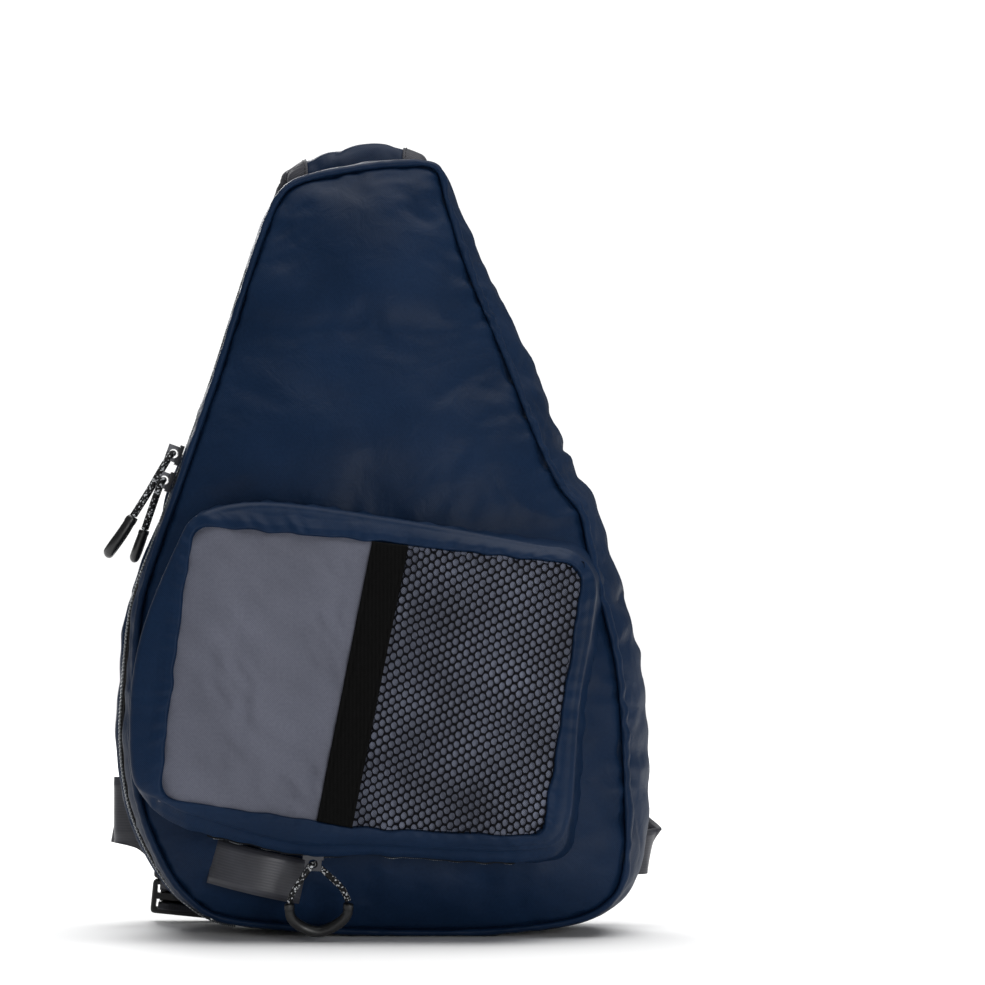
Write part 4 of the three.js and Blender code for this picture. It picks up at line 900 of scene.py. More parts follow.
def corner_dip(flat, corners):
    """How far a patch is tucked under the hem at the given corners of the window."""
    corners = np.array(corners) * (pocket_half, pocket_tall)
    away = np.min([np.linalg.norm(flat - corner, axis=-1) for corner in corners], axis=0)
    return 3.5 * mm * np.exp(-(away / 0.0065) ** 2)


def panel_lift(flat, u, v):
    off = seam_fall(u, v, 0.096, 0.145)
    near, wide = 1 - np.exp(-off / 0.006), 1 - np.exp(-off / 0.012)
    creases = ripple(flat @ ((1.0, 0.5), (0.7, -0.6)), 0.012, 49)
    creases = creases * np.clip(ripple(flat, 0.06, 50) + 0.3, 0, 1.3)
    folds = ripple(flat @ ((1, 0.25), (0.3, 0.5)), 0.055, 41)
    folds = folds + 0.7 * ripple(flat @ ((1.0, 0.6), (1.4, -0.5)), 0.03, 48)
    tugs = ripple(flat, 0.014, 42) * np.exp(-off / 0.006)
    lift = -0.9 + 1.6 * near + 1.3 * folds * wide + 0.6 * creases * near + 0.5 * tugs
    corners = [window_corners["panel"][0], window_corners["panel"][3]]
    return mm * lift - corner_dip(flat, corners)


# Plain woven polyester in a mixed grey: lighter and darker yarns lie side by side, matt with a
# faint sheen. Yarn of 0.45 mm is drawn 0.6 mm wide so that the mix shows.
grey_weave = woven("grey_melange_polyester", "4a4c58", "5e606b", 0.6 * mm, 0.68, 0.15, crinkle=0.55,
                   dye_and_shade_mottle=0.1)
grey_panel = patch("pocket_grey_patch", window_corners["panel"], 2.2 * mm, (110, 150), panel_lift,
                   0.8 * mm, grey_weave, "pocket_grey_panel")


# Black tape: a 19 mm nylon webbing band that covers the join of patch and net. It lies proud of
# both by its thickness and is stitched down along both edges.
def tape_lift(flat, u, v):
    side = np.minimum(u, 1 - u) * 0.018
    stitch = np.exp(-((side - 0.0022) / 0.0007) ** 2)
    return mm * (1.5 + 0.35 * (1 - np.exp(-side / 0.0012)) - 0.3 * stitch
                 + 0.12 * ripple(flat, 0.03, 43))


black_webbing = woven("tape_black_nylon", "020202", "0a0a0a", 1.0 * mm, 0.7, 0.05, crinkle=0.05,
                      relief=0.35, twill=1.0)
tape = patch("pocket_join_tape", window_corners["tape"], 0.6 * mm, (40, 150), tape_lift, 1.6 * mm,
             black_webbing, "pocket_black_tape")


# Lining behind the net: the same grey polyester, thinner, laid loosely in shallow folds that
# bring it up to the net in places and drop it into shadow in others. Its strong colour mottle is partly uneven dye
# and partly painted shade of those folds.
def lining_lift(flat, u, v):
    off = seam_fall(u, v, 0.095, 0.145)
    folds = ripple(flat * (1.0, 0.7), 0.034, 44)
    lift = -1.7 + 0.9 * np.minimum(folds, 0.6) - 0.5 * np.exp(-off / 0.01)
    return mm * lift - corner_dip(flat, window_corners["net"][1:3])


# Painted shade: broad darker and lighter patches in the lining's colour, on top of its uneven dye.
lining_weave = woven("lining_grey_polyester", "4f5361", "787d8e", 0.6 * mm, 0.7, 0.15, crinkle=0.2,
                     dye_and_shade_mottle=0.4)
lining = patch("pocket_net_lining", window_corners["net"], 1.5 * mm, (96, 120), lining_lift, 0.5 * mm,
               lining_weave, "pocket_lining")


# Net: black knitted polyester with round holes in a six-sided lattice. It is sewn in on the
# slant and stretched upwards, so its rows lean and lie about 4 mm apart; the grey of the lining
# shows through the holes as dots.
net_step_right = np.array([3.43, 1.80]) * mm
net_step_up = np.array([0.79, 4.95]) * mm
hole_radius = 1.62 * mm
net_corners = np.array(window_corners["net"]) * (pocket_half, pocket_tall)
net_corners = net_corners + np.sign(net_corners - net_corners.mean(0)) * 1.6 * mm
hole_sides = 12


def net_lift(flat):
    off = -outside_by(net_corners, flat)
    lift = -0.4 + 1.9 * (1 - np.exp(-np.maximum(off, 0) / 0.006)) + 0.25 * ripple(flat, 0.04, 45)
    return mm * lift - corner_dip(flat, window_corners["net"][1:3])


def net_cells():
    """Middles of the net's cells that lie inside the patch, by row and column of the lattice."""
    middle = net_corners.mean(0)
    each_way = range(-48, 48)
    place = np.array([(i, j) for j in each_way for i in each_way])
    found = middle + place[:, :1] * net_step_right + place[:, 1:] * net_step_up
    return found[outside_by(net_corners, found) < -0.2 * mm]


corner_angle = math.pi / 6 + np.arange(hole_sides) * 2 * math.pi / hole_sides
corner_far = np.where(np.arange(hole_sides) % 2 == 0, 1 / math.sqrt(3), 0.5)[:, None]
cell_ring = np.stack([np.cos(corner_angle), np.sin(corner_angle)], 1) * corner_far
net_steps = [net_step_right, (net_step_up - net_step_right / 2) / math.sin(math.pi / 3)]
cell_ring = cell_ring @ np.array(net_steps)
hole_ring = 0.5 * unit(cell_ring) + 0.42 * cell_ring / hole_radius
net_points, net_faces, welded = [], [], {}
for middle in net_cells():
    rim = middle + cell_ring
    outer = []
    for p in rim:
        key = (round(p[0] * 1e5), round(p[1] * 1e5))
        if key not in welded:
            welded[key] = len(net_points)
            net_points.append((*p, 0.0))
        outer.append(welded[key])
    first = len(net_points)
    for drop, radius in ((0.0, 1.07), (0.12, 0.98), (0.75, 1.0)):
        for p in middle + hole_ring * hole_radius * radius:
            net_points.append((*p, drop * mm))
    for i in range(hole_sides):
        j = (i + 1) % hole_sides
        net_faces.append((outer[i], outer[j], first + j, first + i))
        for ring in (0, 1):
            a = first + ring * hole_sides
            net_faces.append((a + i, a + j, a + hole_sides + j, a + hole_sides + i))
net_points = np.array(net_points)
pulled = np.stack([ripple(net_points[:, :2], 0.03, 46), ripple(net_points[:, :2], 0.03, 47)], 1)
net_points[:, :2] += 0.3 * mm * pulled
net_y = pocket_face(net_points[:, 0], net_points[:, 1], net_lift(net_points[:, :2])) + net_points[:, 2]
net_points = np.stack([net_points[:, 0] + pocket_middle[0], net_y,
                       net_points[:, 1] + pocket_middle[1]], 1)

# Knitted polyester yarn, matt black with a slight fibre gloss on the raised ribs.
net_yarn, tree, shader = finish_of("net_black_polyester_knit", 0.7, gloss=0.06)
fibre = node(tree, "TexNoise", inputs={"Scale": 1800.0, "Detail": 2.0})
tone = node(tree, "ValToRGB", {"stops": [(0.0, "030305"), (1.0, "0c0d12")]}, {"Fac": fibre})
feed(tree, shader, {"Base Color": tone})
ribs = node(tree, "Bump", inputs={"Strength": 0.4, "Distance": 0.15 * mm, "Height": fibre})
feed(tree, shader, {"Normal": ribs})
net = object_of("pocket_net_mesh", net_points, net_faces, net_yarn)
belongs(net, "pocket_net")


# Pocket zipper: a woven tape with a nylon coil let into the underside of the pocket, where
# the pocket opens. The slider rides on it, and its cord pull hangs down in front of the bag.
pocket_tree = BVHTree.FromObject(pocket, bpy.context.evaluated_depsgraph_get())
zip_line_y = -87 * mm


def under_pocket(x, y):
    """Height of the pocket's underside, seen from below."""
    hit = pocket_tree.ray_cast(Vector((x, y, -0.1)), Vector((0, 0, 1)))[0]
    return hit.z if hit else 0.045


zip_x = np.linspace(-90 * mm, 72 * mm, 90)
under_rails = [np.array([(x, zip_line_y + off * mm, under_pocket(x, zip_line_y + off * mm) - 0.5 * mm)
                         for x in zip_x]) for off in (-3.0, -1.5, 0, 1.5, 3.0)]
pocket_tape = ribbon("pocket_zip_tape", under_rails, 0.8 * mm, zip_tape_weave)
belongs(pocket_tape, "pocket_zipper")
zip_spine = under_rails[2] - (0, 0, 0.7 * mm)
pocket_tooth_shape = ((-0.5, 0.5), (0.3, 0.55), (1.9, 0.45), (2.2, 0.2))
teeth = []
for k, x in enumerate(np.arange(zip_x[2], zip_x[-2], tooth_pitch)):
    z = np.interp(x, zip_spine[:, 0], zip_spine[:, 2])
    side = 1 if k % 2 else -1
    teeth += [(np.array([x, zip_line_y + side * reach * mm, z]), np.array([1, 0, 0]),
               np.array([0, 0, 1]), radius) for reach, radius in pocket_tooth_shape]
small_bars("pocket_zip_coil", teeth, coil_nylon)


# Webbing loop under the pocket: 24 mm grey polyester webbing, sewn down flat at both ends and
# standing off the bag between them, so that the light runs over its bow.
def band_rails(stops, width, steps, columns=7):
    """Rails of a webbing band: each stop has its middle in mm and the direction of its width."""
    stops = np.array(stops)
    route = curve_through(stops[:, :3] * mm, False, 24)
    sides = curve_through(stops[:, 3:], False, 24)
    pick = np.linspace(0, len(route) - 1, steps)
    route, sides = sampled(route, pick), sampled(sides, pick)
    run = unit(np.gradient(route, axis=0))
    sides = unit(sides - run * (sides * run).sum(1)[:, None])
    return [route + sides * u * width / 2 for u in np.linspace(-1, 1, columns)]


def webbing_band(name, stops, width, steps, thickness, stands_for):
    """A band of grey webbing along its stops, in place of a solid of the frame."""
    band = ribbon(name, band_rails(stops, width, steps), thickness, grey_webbing)
    belongs(band, stands_for)


# Flat webbing of grey polyester: thick yarns run along it in ribs about 1.5 mm apart, with a
# fine weft across. Filament yarn has a silky gloss that runs along the ribs.
grey_webbing, tree, shader = finish_of("webbing_grey_polyester", 0.4, gloss=0.35)
cut = node(tree, "UVMap", {"uv_map": "cut"})
parts = node(tree, "SeparateXYZ", inputs={0: cut})
rib_spacing, pick_spacing = 1.5 * mm, 1.1 * mm
rib = waves(tree, parts.outputs["X"], rib_spacing)
slant = node(tree, "Math", {"operation": "MULTIPLY_ADD"},
             {0: parts.outputs["X"], 1: 0.9, 2: parts.outputs["Y"]})
pick = waves(tree, slant, pick_spacing)
weave = node(tree, "Math", {"operation": "MULTIPLY_ADD"}, {0: pick, 1: 0.2, 2: rib})
uneven = node(tree, "TexNoise", inputs={"Vector": cut, "Scale": 60.0, "Detail": 3.0})
mix = node(tree, "Math", {"operation": "MULTIPLY_ADD"}, {0: weave, 1: 0.1, 2: uneven})
tone = node(tree, "ValToRGB", {"stops": [(0.2, "2b2c31"), (0.85, "404148")]}, {"Fac": mix})
feed(tree, shader, {"Base Color": tone})
ribs = node(tree, "Bump", inputs={"Strength": 0.13, "Distance": 0.15 * mm, "Height": weave})
feed(tree, shader, {"Normal": ribs})

loop_stops = [
    (-88.5, -61.7, 41.5, 0.224, 0, 0.975), (-86.1, -64.4, 41, 0.224, 0, 0.975),
    (-75.3, -70.4, 38.5, 0.224, 0, 0.975), (-64.5, -72.5, 36, 0.224, 0, 0.975),
    (-53.7, -71, 33.5, 0.224, 0, 0.975), (-42.9, -65.6, 31, 0.224, 0, 0.975),
    (-40.5, -63, 30.5, 0.224, 0, 0.975),
]
webbing_band("pocket_webbing_loop", loop_stops, 24 * mm, 60, 1.5 * mm, "pocket_web_loop")


# Shoulder strap: a long pad of navy polyester over foam. It starts in the top seam, goes over
# the crest and down the back, and is quilted across once near its lower end.
back_face = 54.8 * mm
strap_full, strap_thick, strap_edge, strap_off = 86 * mm, 11 * mm, 4.6 * mm, 17 * mm
strap_rows = np.array([
    (-0.108, 0.935, -0.9, 0.78, 0.5, -9), (-0.108, 0.976, -0.88, 0.79, 0.55, -9),
    (-0.108, 1.003, -0.6, 0.81, 0.7, -8), (-0.11, 1.015, 0.0, 0.83, 0.8, -7),
    (-0.112, 1.005, 0.7, 0.85, 0.9, -4), (-0.117, 0.968, 1.05, 0.88, 1.0, 2),
    (-0.165, 0.897, 1.2, 0.94, 1.0, 8), (-0.242, 0.77, 1.26, 0.97, 1.0, 10),
    (-0.295, 0.646, 1.26, 0.95, 1.0, 12), (-0.38, 0.54, 1.22, 0.93, 0.95, 15),
    (-0.5, 0.409, 1.1, 0.88, 1.0, 17), (-0.59, 0.3, 0.92, 0.84, 1.0, 15),
    (-0.66, 0.225, 0.75, 0.78, 0.95, 12), (-0.675, 0.205, 0.7, 0.72, 0.8, 12),
    (-0.688, 0.188, 0.66, 0.5, 0.6, 12),
])
strap_curve = curve_through(
    strap_rows[:, :3] * (half_width, height, strap_off) + (0, 0, back_face), False, 60)[:, [0, 2, 1]]
strap_run = unit(np.gradient(strap_curve, axis=0))
strap_reach = reach_along(strap_curve)
strap_index = np.linspace(0, len(strap_rows) - 1, len(strap_curve))
width_at, thick_at, tilt_at = sampled(strap_rows[:, 3:], strap_index).T
tilt_at = np.radians(tilt_at)
strap_side = np.stack([np.cos(tilt_at), 0 * tilt_at, -np.sin(tilt_at)], 1)
strap_side = unit(strap_side - strap_run * (strap_side * strap_run).sum(1)[:, None])
strap_out = np.cross(strap_side, strap_run)


# Over the crest the pad is bowed across: its edges hang lower than its middle.
arch_bow = ((0.0, 0.025, 0.055, 0.085, 0.15, 0.2), (5 * mm, 8 * mm, 9 * mm, 6 * mm, 1.5 * mm, 0))
arch_half = 38 * mm


def strap_height(u, thickness):
    """Half the pad's thickness at a share of its half width."""
    edge = np.minimum(strap_edge, thickness) / 2
    return edge + (thickness / 2 - edge) * (1 - np.abs(u) ** 3)


def strap_at(reach, offset, height_off):
    """Points by reach along the strap, offset across and height off its middle plane, in metres."""
    reach, offset, height_off = np.broadcast_arrays(reach, offset, height_off)
    k = np.interp(reach, strap_reach, np.arange(len(strap_reach)))
    height_off = height_off - np.interp(reach, *arch_bow) * (offset / arch_half) ** 2
    return (sampled(strap_curve, k) + sampled(strap_side, k) * offset[..., None]
            + sampled(strap_out, k) * height_off[..., None])


strap_steps = 150
strap_columns = np.linspace(-1, 1, 27)


def strap_size(reach):
    """Half width and thickness of the pad at a reach along it."""
    return (np.interp(reach, strap_reach, width_at) * strap_full / 2,
            np.interp(reach, strap_reach, thick_at) * strap_thick)


rings, uv_rows = [], []
for reach in np.linspace(0, strap_reach[-1], strap_steps):
    half, thick = strap_size(reach)
    rise = strap_height(strap_columns, thick)
    upper = strap_at(reach, strap_columns * half, rise)
    lower = strap_at(reach, strap_columns * half, -rise)[::-1]
    rings.append(np.vstack([upper, lower]))
    uv_rows += [(offset * half, reach) for offset in (*strap_columns, *strap_columns[::-1])]
faces = skin(rings)
uv = [uv_rows[corner] for face in faces for corner in face]
strap = object_of("shoulder_strap_pad", np.vstack(rings), faces, uv=uv)
facing_out(strap)


def strap_held(points):
    off, k = nearest_on(strap_curve, points)
    across = np.abs(((points - strap_curve[k]) * strap_side[k]).sum(1))
    near_edge = np.clip((across - (width_at[k] * strap_full / 2 - 9 * mm)) / (5 * mm), 0, 1)
    ends = np.clip(1.4 - np.minimum(strap_reach[k], strap_reach[-1] - strap_reach[k]) / 0.02, 0, 1)
    return np.maximum(near_edge, ends)


swell(strap, voxel=0, pressure=1.5, held=strap_held, cap=3 * mm, slack=0.02)
at = points_of(strap)
normal = normals_of(strap)
off, k = nearest_on(strap_curve, at)
reach = strap_reach[k]
across = ((at - strap_curve[k]) * strap_side[k]).sum(1)
middle = np.clip(1 - (np.abs(across) / (width_at[k] * strap_full / 2)) ** 4, 0, 1)
fold_place = np.stack([reach + across * 0.35, across * 0.3], 1)
bend = np.exp(-((reach - 0.055) / 0.05) ** 2)
push = 0.9 * ripple(fold_place, 0.045, 51) + 0.5 * ripple(fold_place, 0.02, 52)
push += bend * 0.7 * ripple(np.stack([reach, across * 0.12], 1), 0.018, 53)
inner = ((at - strap_curve[k]) * strap_out[k]).sum(1) < 0
quilt_z = 190 * mm
falling = strap_reach > 0.15
quilt_reach = np.interp(-quilt_z, -strap_curve[falling, 2], strap_reach[falling])
quilt = np.exp(-((reach - across * 0.18 - quilt_reach) / 0.0022) ** 2)
under_webbing = np.clip((at[:, 2] - 0.13) / 0.03, 0.1, 1)
push = push * middle * np.where(inner, 0.4, 1) * under_webbing - 1.8 * quilt * middle
set_points(strap, at + normal * (push * mm)[:, None])

# The same coated polyester as the bag; on the strap it is pulled tight over foam and catches
# a little more light.
strap.data.materials.append(navy_oxford)
belongs(strap, "strap_pad")


# Binding: a 20 mm tape of grey polyester folded over both long edges of the strap and its lower
# end, and sewn through with one row of stitches near its inner edge.
binding_reach = 8.5 * mm


def binding_profile(half, thick, grow):
    """Offsets across and off the middle plane of the tape's fold round one edge."""
    edge = min(strap_edge, thick) / 2
    inner = np.linspace(half - binding_reach, half, 8)
    top = np.stack([inner, strap_height(inner / half, thick) + grow], 1)
    round_it = [(half + math.cos(a) * (edge + grow), math.sin(a) * (edge + grow))
                for a in np.linspace(math.pi / 2, -math.pi / 2, 9)[1:-1]]
    return np.vstack([top, round_it, top[::-1] * (1, -1)])


binding_steps = 230
binding_rings, binding_faces, binding_uv = [], [], []
for sign in (-1, 1):
    first = sum(len(ring) for ring in binding_rings)
    rings = []
    for reach in np.linspace(0.004, strap_reach[-1] - 0.001, binding_steps):
        half, thick = strap_size(reach)
        wave = 0.25 * mm * math.sin(reach * 900) + 0.2 * mm * math.sin(reach * 410 + 1)
        outer = binding_profile(half, thick, 1.25 * mm + 0.3 * wave)
        inner = binding_profile(half, thick, 0.25 * mm)[::-1]
        outline_ring = np.vstack([outer, inner])
        rings.append(strap_at(reach, outline_ring[:, 0] * sign, outline_ring[:, 1]))
    width_run = reach_along(outline_ring)
    faces = skin(rings, first=first)
    size = len(outline_ring)
    for face in faces:
        for corner in face:
            row, column = divmod(corner - first, size)
            binding_uv.append((width_run[column], row * strap_reach[-1] / binding_steps))
    binding_rings += rings
    binding_faces += faces
first = sum(len(ring) for ring in binding_rings)
end_half, end_thick = strap_size(strap_reach[-1])
end_fold = ((-binding_reach, 1), (-5 * mm, 1), (0, 1), (1.4 * mm, 0.7), (2.0 * mm, 0), (1.4 * mm, -0.7),
            (0, -1), (-5 * mm, -1), (-binding_reach, -1))
rings = []
for u in np.linspace(-1.12, 1.12, 30):
    rise = float(strap_height(min(1.0, abs(u)), end_thick))
    outer = [(a, b * (rise + 1.4 * mm)) for a, b in end_fold]
    inner = [(a - 0.9 * mm * (a > -1e-6), b * (rise + 0.3 * mm)) for a, b in end_fold][::-1]
    past, off = np.array(outer + inner).T
    rings.append(strap_at(strap_reach[-1], u * end_half, off) + strap_run[-1] * past[:, None])
faces = skin(rings, first=first)
for face in faces:
    for corner in face:
        row, column = divmod(corner - first, 2 * len(end_fold))
        binding_uv.append((column * 2 * mm, row * 2 * mm))
binding_rings += rings
binding_faces += faces

# Binding tape is woven flat from finer yarn than the webbing: a matt mid grey with thin ribs.
binding_weave = woven("binding_tape_grey_polyester", "2a2b30", "46474e", 0.8 * mm, 0.6, 0.2,
                      crinkle=0.15, relief=0.4)
binding = object_of("strap_edge_binding", np.vstack(binding_rings), binding_faces, binding_weave,
                    binding_uv)
facing_out(binding)
belongs(binding, "strap_binding")


# Sewing thread: black polyester, lockstitched 3 mm long. Every stitch is a short round of thread
# that sinks in at both ends, so that a row reads as a line of small dashes.
sewing_thread, tree, shader = finish_of("sewing_thread_black_polyester", 0.5, gloss=0.2)
lint = node(tree, "TexNoise", inputs={"Scale": 2500.0, "Detail": 2.0})
tone = node(tree, "ValToRGB", {"stops": [(0.0, "101114"), (1.0, "26282c")]}, {"Fac": lint})
feed(tree, shader, {"Base Color": tone})


stitch_pitch = 3.1 * mm
stitch_shape = ((0, -0.25, 0.12), (0.5, 0.08, 0.26), (1.9, 0.08, 0.26), (2.4, -0.25, 0.12))
stitches = []
sewn_reach = np.linspace(0.006, strap_reach[-1] - 0.012, 300)
for sign in (-1, 1):
    half, thick = strap_size(sewn_reach)
    inset = half - binding_reach + 1.6 * mm
    line = strap_at(sewn_reach, sign * inset, strap_height(inset / half, thick) + 1.3 * mm)
    above = strap_at(sewn_reach, sign * inset, strap_height(inset / half, thick) + 2.3 * mm)
    out = (above - line) / mm
    reach = reach_along(line)
    for start in np.arange(0.001, reach[-1] - 0.003, stitch_pitch):
        for ahead_by, rise, radius in stitch_shape:
            place, ahead = np.interp(start + np.array([ahead_by, ahead_by + 0.3]) * mm, reach,
                                     np.arange(len(line)))
            here, up = sampled(line, place), sampled(out, place)
            side = np.cross(up, sampled(line, ahead) - here)
            side /= max(1e-9, np.linalg.norm(side))
            stitches.append((here + up * rise * mm, side, up, radius))
small_bars("binding_stitches", stitches, sewing_thread)


# Wide webbing: 38 mm grey polyester, sewn on the strap's lower end and folded round the bar of
# the big buckle. Its other part comes from the left seam and goes over the plug's middle bar.
web_38_stops = [
    (-86.7, 77.9, 117.8, -0.953, 0.005, 0.303), (-93.9, 75.8, 95.6, -0.956, 0.008, 0.292),
    (-95.9, 74.7, 88, -0.972, 0.003, 0.235), (-97.2, 73.9, 82.8, -0.968, 0.004, 0.253),
    (-98.1, 73.3, 79.4, -0.967, 0.004, 0.253), (-100.7, 72.3, 68.1, -0.995, 0, 0.1),
    (-101.2, 71.9, 63.7, -0.995, 0, 0.1), (-101.4, 71, 61.6, -0.995, 0, 0.1),
    (-101.4, 65.6, 61.3, -0.995, 0, 0.1), (-101.3, 60.2, 61.9, -0.995, 0, 0.1),
    (-101.1, 59.3, 64, -0.995, 0, 0.1), (-100.7, 58.8, 68.4, -0.995, 0, 0.1),
]
webbing_band("strap_webbing_wide", web_38_stops, 38 * mm, 120, 1.7 * mm, "strap_web_38")
base_38_stops = [
    (-123.2, 40, 62.7, 0, 0, -1), (-145.9, 44, 62.7, 0, 0, -1), (-146.6, 53.8, 61.9, 0, 0, -1),
    (-127.3, 56.9, 56, -0.5, 0, -0.866), (-112.3, 57, 41.8, -0.866, 0, -0.5),
    (-105, 58.3, 25.2, -0.995, 0, 0.1), (-105.5, 58.2, 20.2, -0.995, 0, 0.1),
    (-105.8, 59.4, 16.8, -0.995, 0, 0.1), (-105.9, 64.7, 16.1, -0.995, 0, 0.1),
    (-106, 70, 15.4, -0.995, 0, 0.1), (-106.1, 70.9, 14, -0.995, 0, 0.1),
    (-106.3, 71, 12, -0.995, 0, 0.1), (-106.5, 70.9, 10, -0.995, 0, 0.1),
    (-106.7, 69.8, 8.6, -0.995, 0, 0.1), (-106.7, 64.5, 8.1, -0.995, 0, 0.1),
    (-106.8, 59.2, 7.6, -0.995, 0, 0.1), (-107, 57.9, 5.3, -0.995, 0, 0.1),
]
webbing_band("base_webbing_wide", base_38_stops, 36 * mm, 200, 1.7 * mm, "base_web_38")


# Narrow webbing: 25 mm grey polyester from the strap's edge to the small buckle, and from its
# plug down to the seam at the lower right.
web_25_stops = [
    (-20.7, 85.1, 253.4, -0.245, -0.01, -0.97), (-13, 84.3, 251.5, -0.245, -0.01, -0.97),
    (-5.2, 84.3, 249.5, -0.245, -0.01, -0.97), (1.6, 83.7, 247.8, -0.245, -0.01, -0.97),
    (10.1, 77.1, 241.6, -0.783, 0, -0.622), (12.8, 76.3, 238.2, -0.783, 0, -0.622),
    (14, 75.2, 236.6, -0.783, 0, -0.622), (14, 70.3, 236.6, -0.783, 0, -0.622),
    (13.4, 65.4, 237.4, -0.783, 0, -0.622), (12.1, 64.7, 239.1, -0.783, 0, -0.622),
    (9.3, 64.6, 242.6, -0.783, 0, -0.622),
]
webbing_band("strap_webbing_narrow", web_25_stops, 25 * mm, 110, 1.5 * mm, "strap_web_25")
base_25_stops = [
    (33.1, 61.1, 212.6, -0.783, 0, -0.622), (36.2, 60.6, 208.7, -0.783, 0, -0.622),
    (38.4, 61.5, 206, -0.783, 0, -0.622), (39, 66.2, 205.1, -0.783, 0, -0.622),
    (39.7, 71, 204.3, -0.783, 0, -0.622), (40.6, 71.8, 203.1, -0.783, 0, -0.622),
    (41.9, 71.7, 201.6, -0.783, 0, -0.622), (43.1, 71.4, 200, -0.783, 0, -0.622),
    (43.9, 70.3, 199, -0.783, 0, -0.622), (44, 65.4, 198.9, -0.783, 0, -0.622),
    (44.1, 60.6, 198.8, -0.783, 0, -0.622), (45.5, 59.1, 197, -0.783, 0, -0.622),
    (48.6, 58.4, 193.2, -0.783, 0, -0.622), (88.7, 58.8, 125.4, -0.821, 0, -0.571),
    (128.7, 57.8, 58.5, -0.821, 0, -0.571), (146.6, 53, 41.8, -0.301, 0, -0.954),
    (145.1, 42, 39.7, -0.1, 0, -0.995), (134.1, 36, 39.7, 0, 0, -1),
]
webbing_band("base_webbing_narrow", base_25_stops, 24.4 * mm, 260, 1.5 * mm, "base_web_25")


# Side-release buckles, injection moulded in acetal: a socket with a rounded mouth and a plug
# with two spring arms. Fine spark-eroded grain leaves a soft gloss, brighter and glossier in scattered rubbed
# patches.
def moulded(name, low, high, roughness, grain_strength):
    made, tree, shader = finish_of(name, roughness, ior=1.48)
    speck = node(tree, "TexNoise", inputs={"Scale": 2400.0, "Detail": 3.0})
    rubbed = node(tree, "TexNoise", inputs={"Scale": 140.0, "Detail": 4.0})
    tone = node(tree, "ValToRGB", {"stops": [(0.35, low), (0.7, high)]}, {"Fac": rubbed})
    feed(tree, shader, {"Base Color": tone})
    gloss = node(tree, "MapRange", inputs={
        "Value": rubbed, "To Min": roughness + 0.08, "To Max": roughness - 0.08})
    feed(tree, shader, {"Roughness": gloss})
    grain = node(tree, "Bump", inputs={
        "Strength": grain_strength, "Distance": 0.12 * mm, "Height": speck})
    feed(tree, shader, {"Normal": grain})
    return made


black_acetal = moulded("acetal_black_moulded", "121213", "1d1d1e", 0.46, 0.3)
grey_acetal = moulded("acetal_grey_moulded", "404143", "5a5b5e", 0.28, 0.2)
slider_zinc, tree, shader = finish_of("zinc_slider_black_plated", 0.3, metallic=0.85)
scuff = node(tree, "TexNoise", inputs={"Scale": 700.0, "Detail": 4.0})
tone = node(tree, "ValToRGB", {"stops": [(0.0, "202124"), (1.0, "55565a")]}, {"Fac": scuff})
feed(tree, shader, {"Base Color": tone})


def softened(name, surface, edge):
    """A hard part of the frame with its own material and rounded edges."""
    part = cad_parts[name]
    part.data.materials.clear()
    part.data.materials.append(surface)
    weld = part.modifiers.new("weld", "WELD")
    weld.merge_threshold = 0.00002
    bevel = part.modifiers.new("edge", "BEVEL")
    bevel.width = edge
    bevel.segments = 3
    bevel.limit_method = "ANGLE"
    bevel.angle_limit = math.radians(28)
    bevel.harden_normals = False
    part.data.polygons.foreach_set("use_smooth", [True] * len(part.data.polygons))
    smooth = part.modifiers.new("weighted", "WEIGHTED_NORMAL")
    smooth.keep_sharp = False


for name in ("buckle_38_socket", "buckle_38_plug"):
    softened(name, black_acetal, 0.55 * mm)
for name in ("buckle_25_socket", "buckle_25_plug"):
    softened(name, grey_acetal, 0.5 * mm)
for name in ("side_slider_upper", "side_slider_lower", "pocket_slider"):
    softened(name, slider_zinc, 0.35 * mm)


# Pulls: each slider carries a loop of 3.2 mm kernmantle cord, black with white tracer yarns.
# Both of its ends are moulded into a black U-shaped grip, and the loop is drawn through the
# slider's eye. The routes are those of the frame's cords.
def tube(name, path, across, up_scale, sides, surface, steps, knobs=None):
    """A round or flattened tube along a path in metres; UVs in metres round and along it."""
    line, length = even(curve_through(path, False, 30), steps, False)
    run = unit(np.gradient(line, axis=0))
    hint = np.cross(run[0], (0.3, 0.2, 1.0))
    ups = [hint / np.linalg.norm(hint)]
    for step in run[1:]:
        nxt = ups[-1] - step * (ups[-1] @ step)
        ups.append(nxt / np.linalg.norm(nxt))
    ups = np.array(ups)
    sideways = np.cross(run, ups)
    scale = np.ones(steps) if knobs is None else knobs(np.linspace(0, 1, steps))
    rings = []
    angle = np.linspace(0, 2 * math.pi, sides, endpoint=False)[:, None]
    for i in range(steps):
        ring = ups[i] * np.cos(angle) * up_scale + sideways[i] * np.sin(angle)
        rings.append(line[i] + ring * across / 2 * scale[i])
    faces = skin(rings)
    around = math.pi * across
    uv = []
    for face in faces:
        first = face[0] % sides
        for corner in face:
            c = corner % sides
            c += sides if len(face) == 4 and c < first and first == sides - 1 else 0
            uv.append((c / sides * around, corner // sides / (steps - 1) * length))
    made = object_of(name, np.vstack(rings), faces, surface, uv)
    facing_out(made)
    return made, line, length


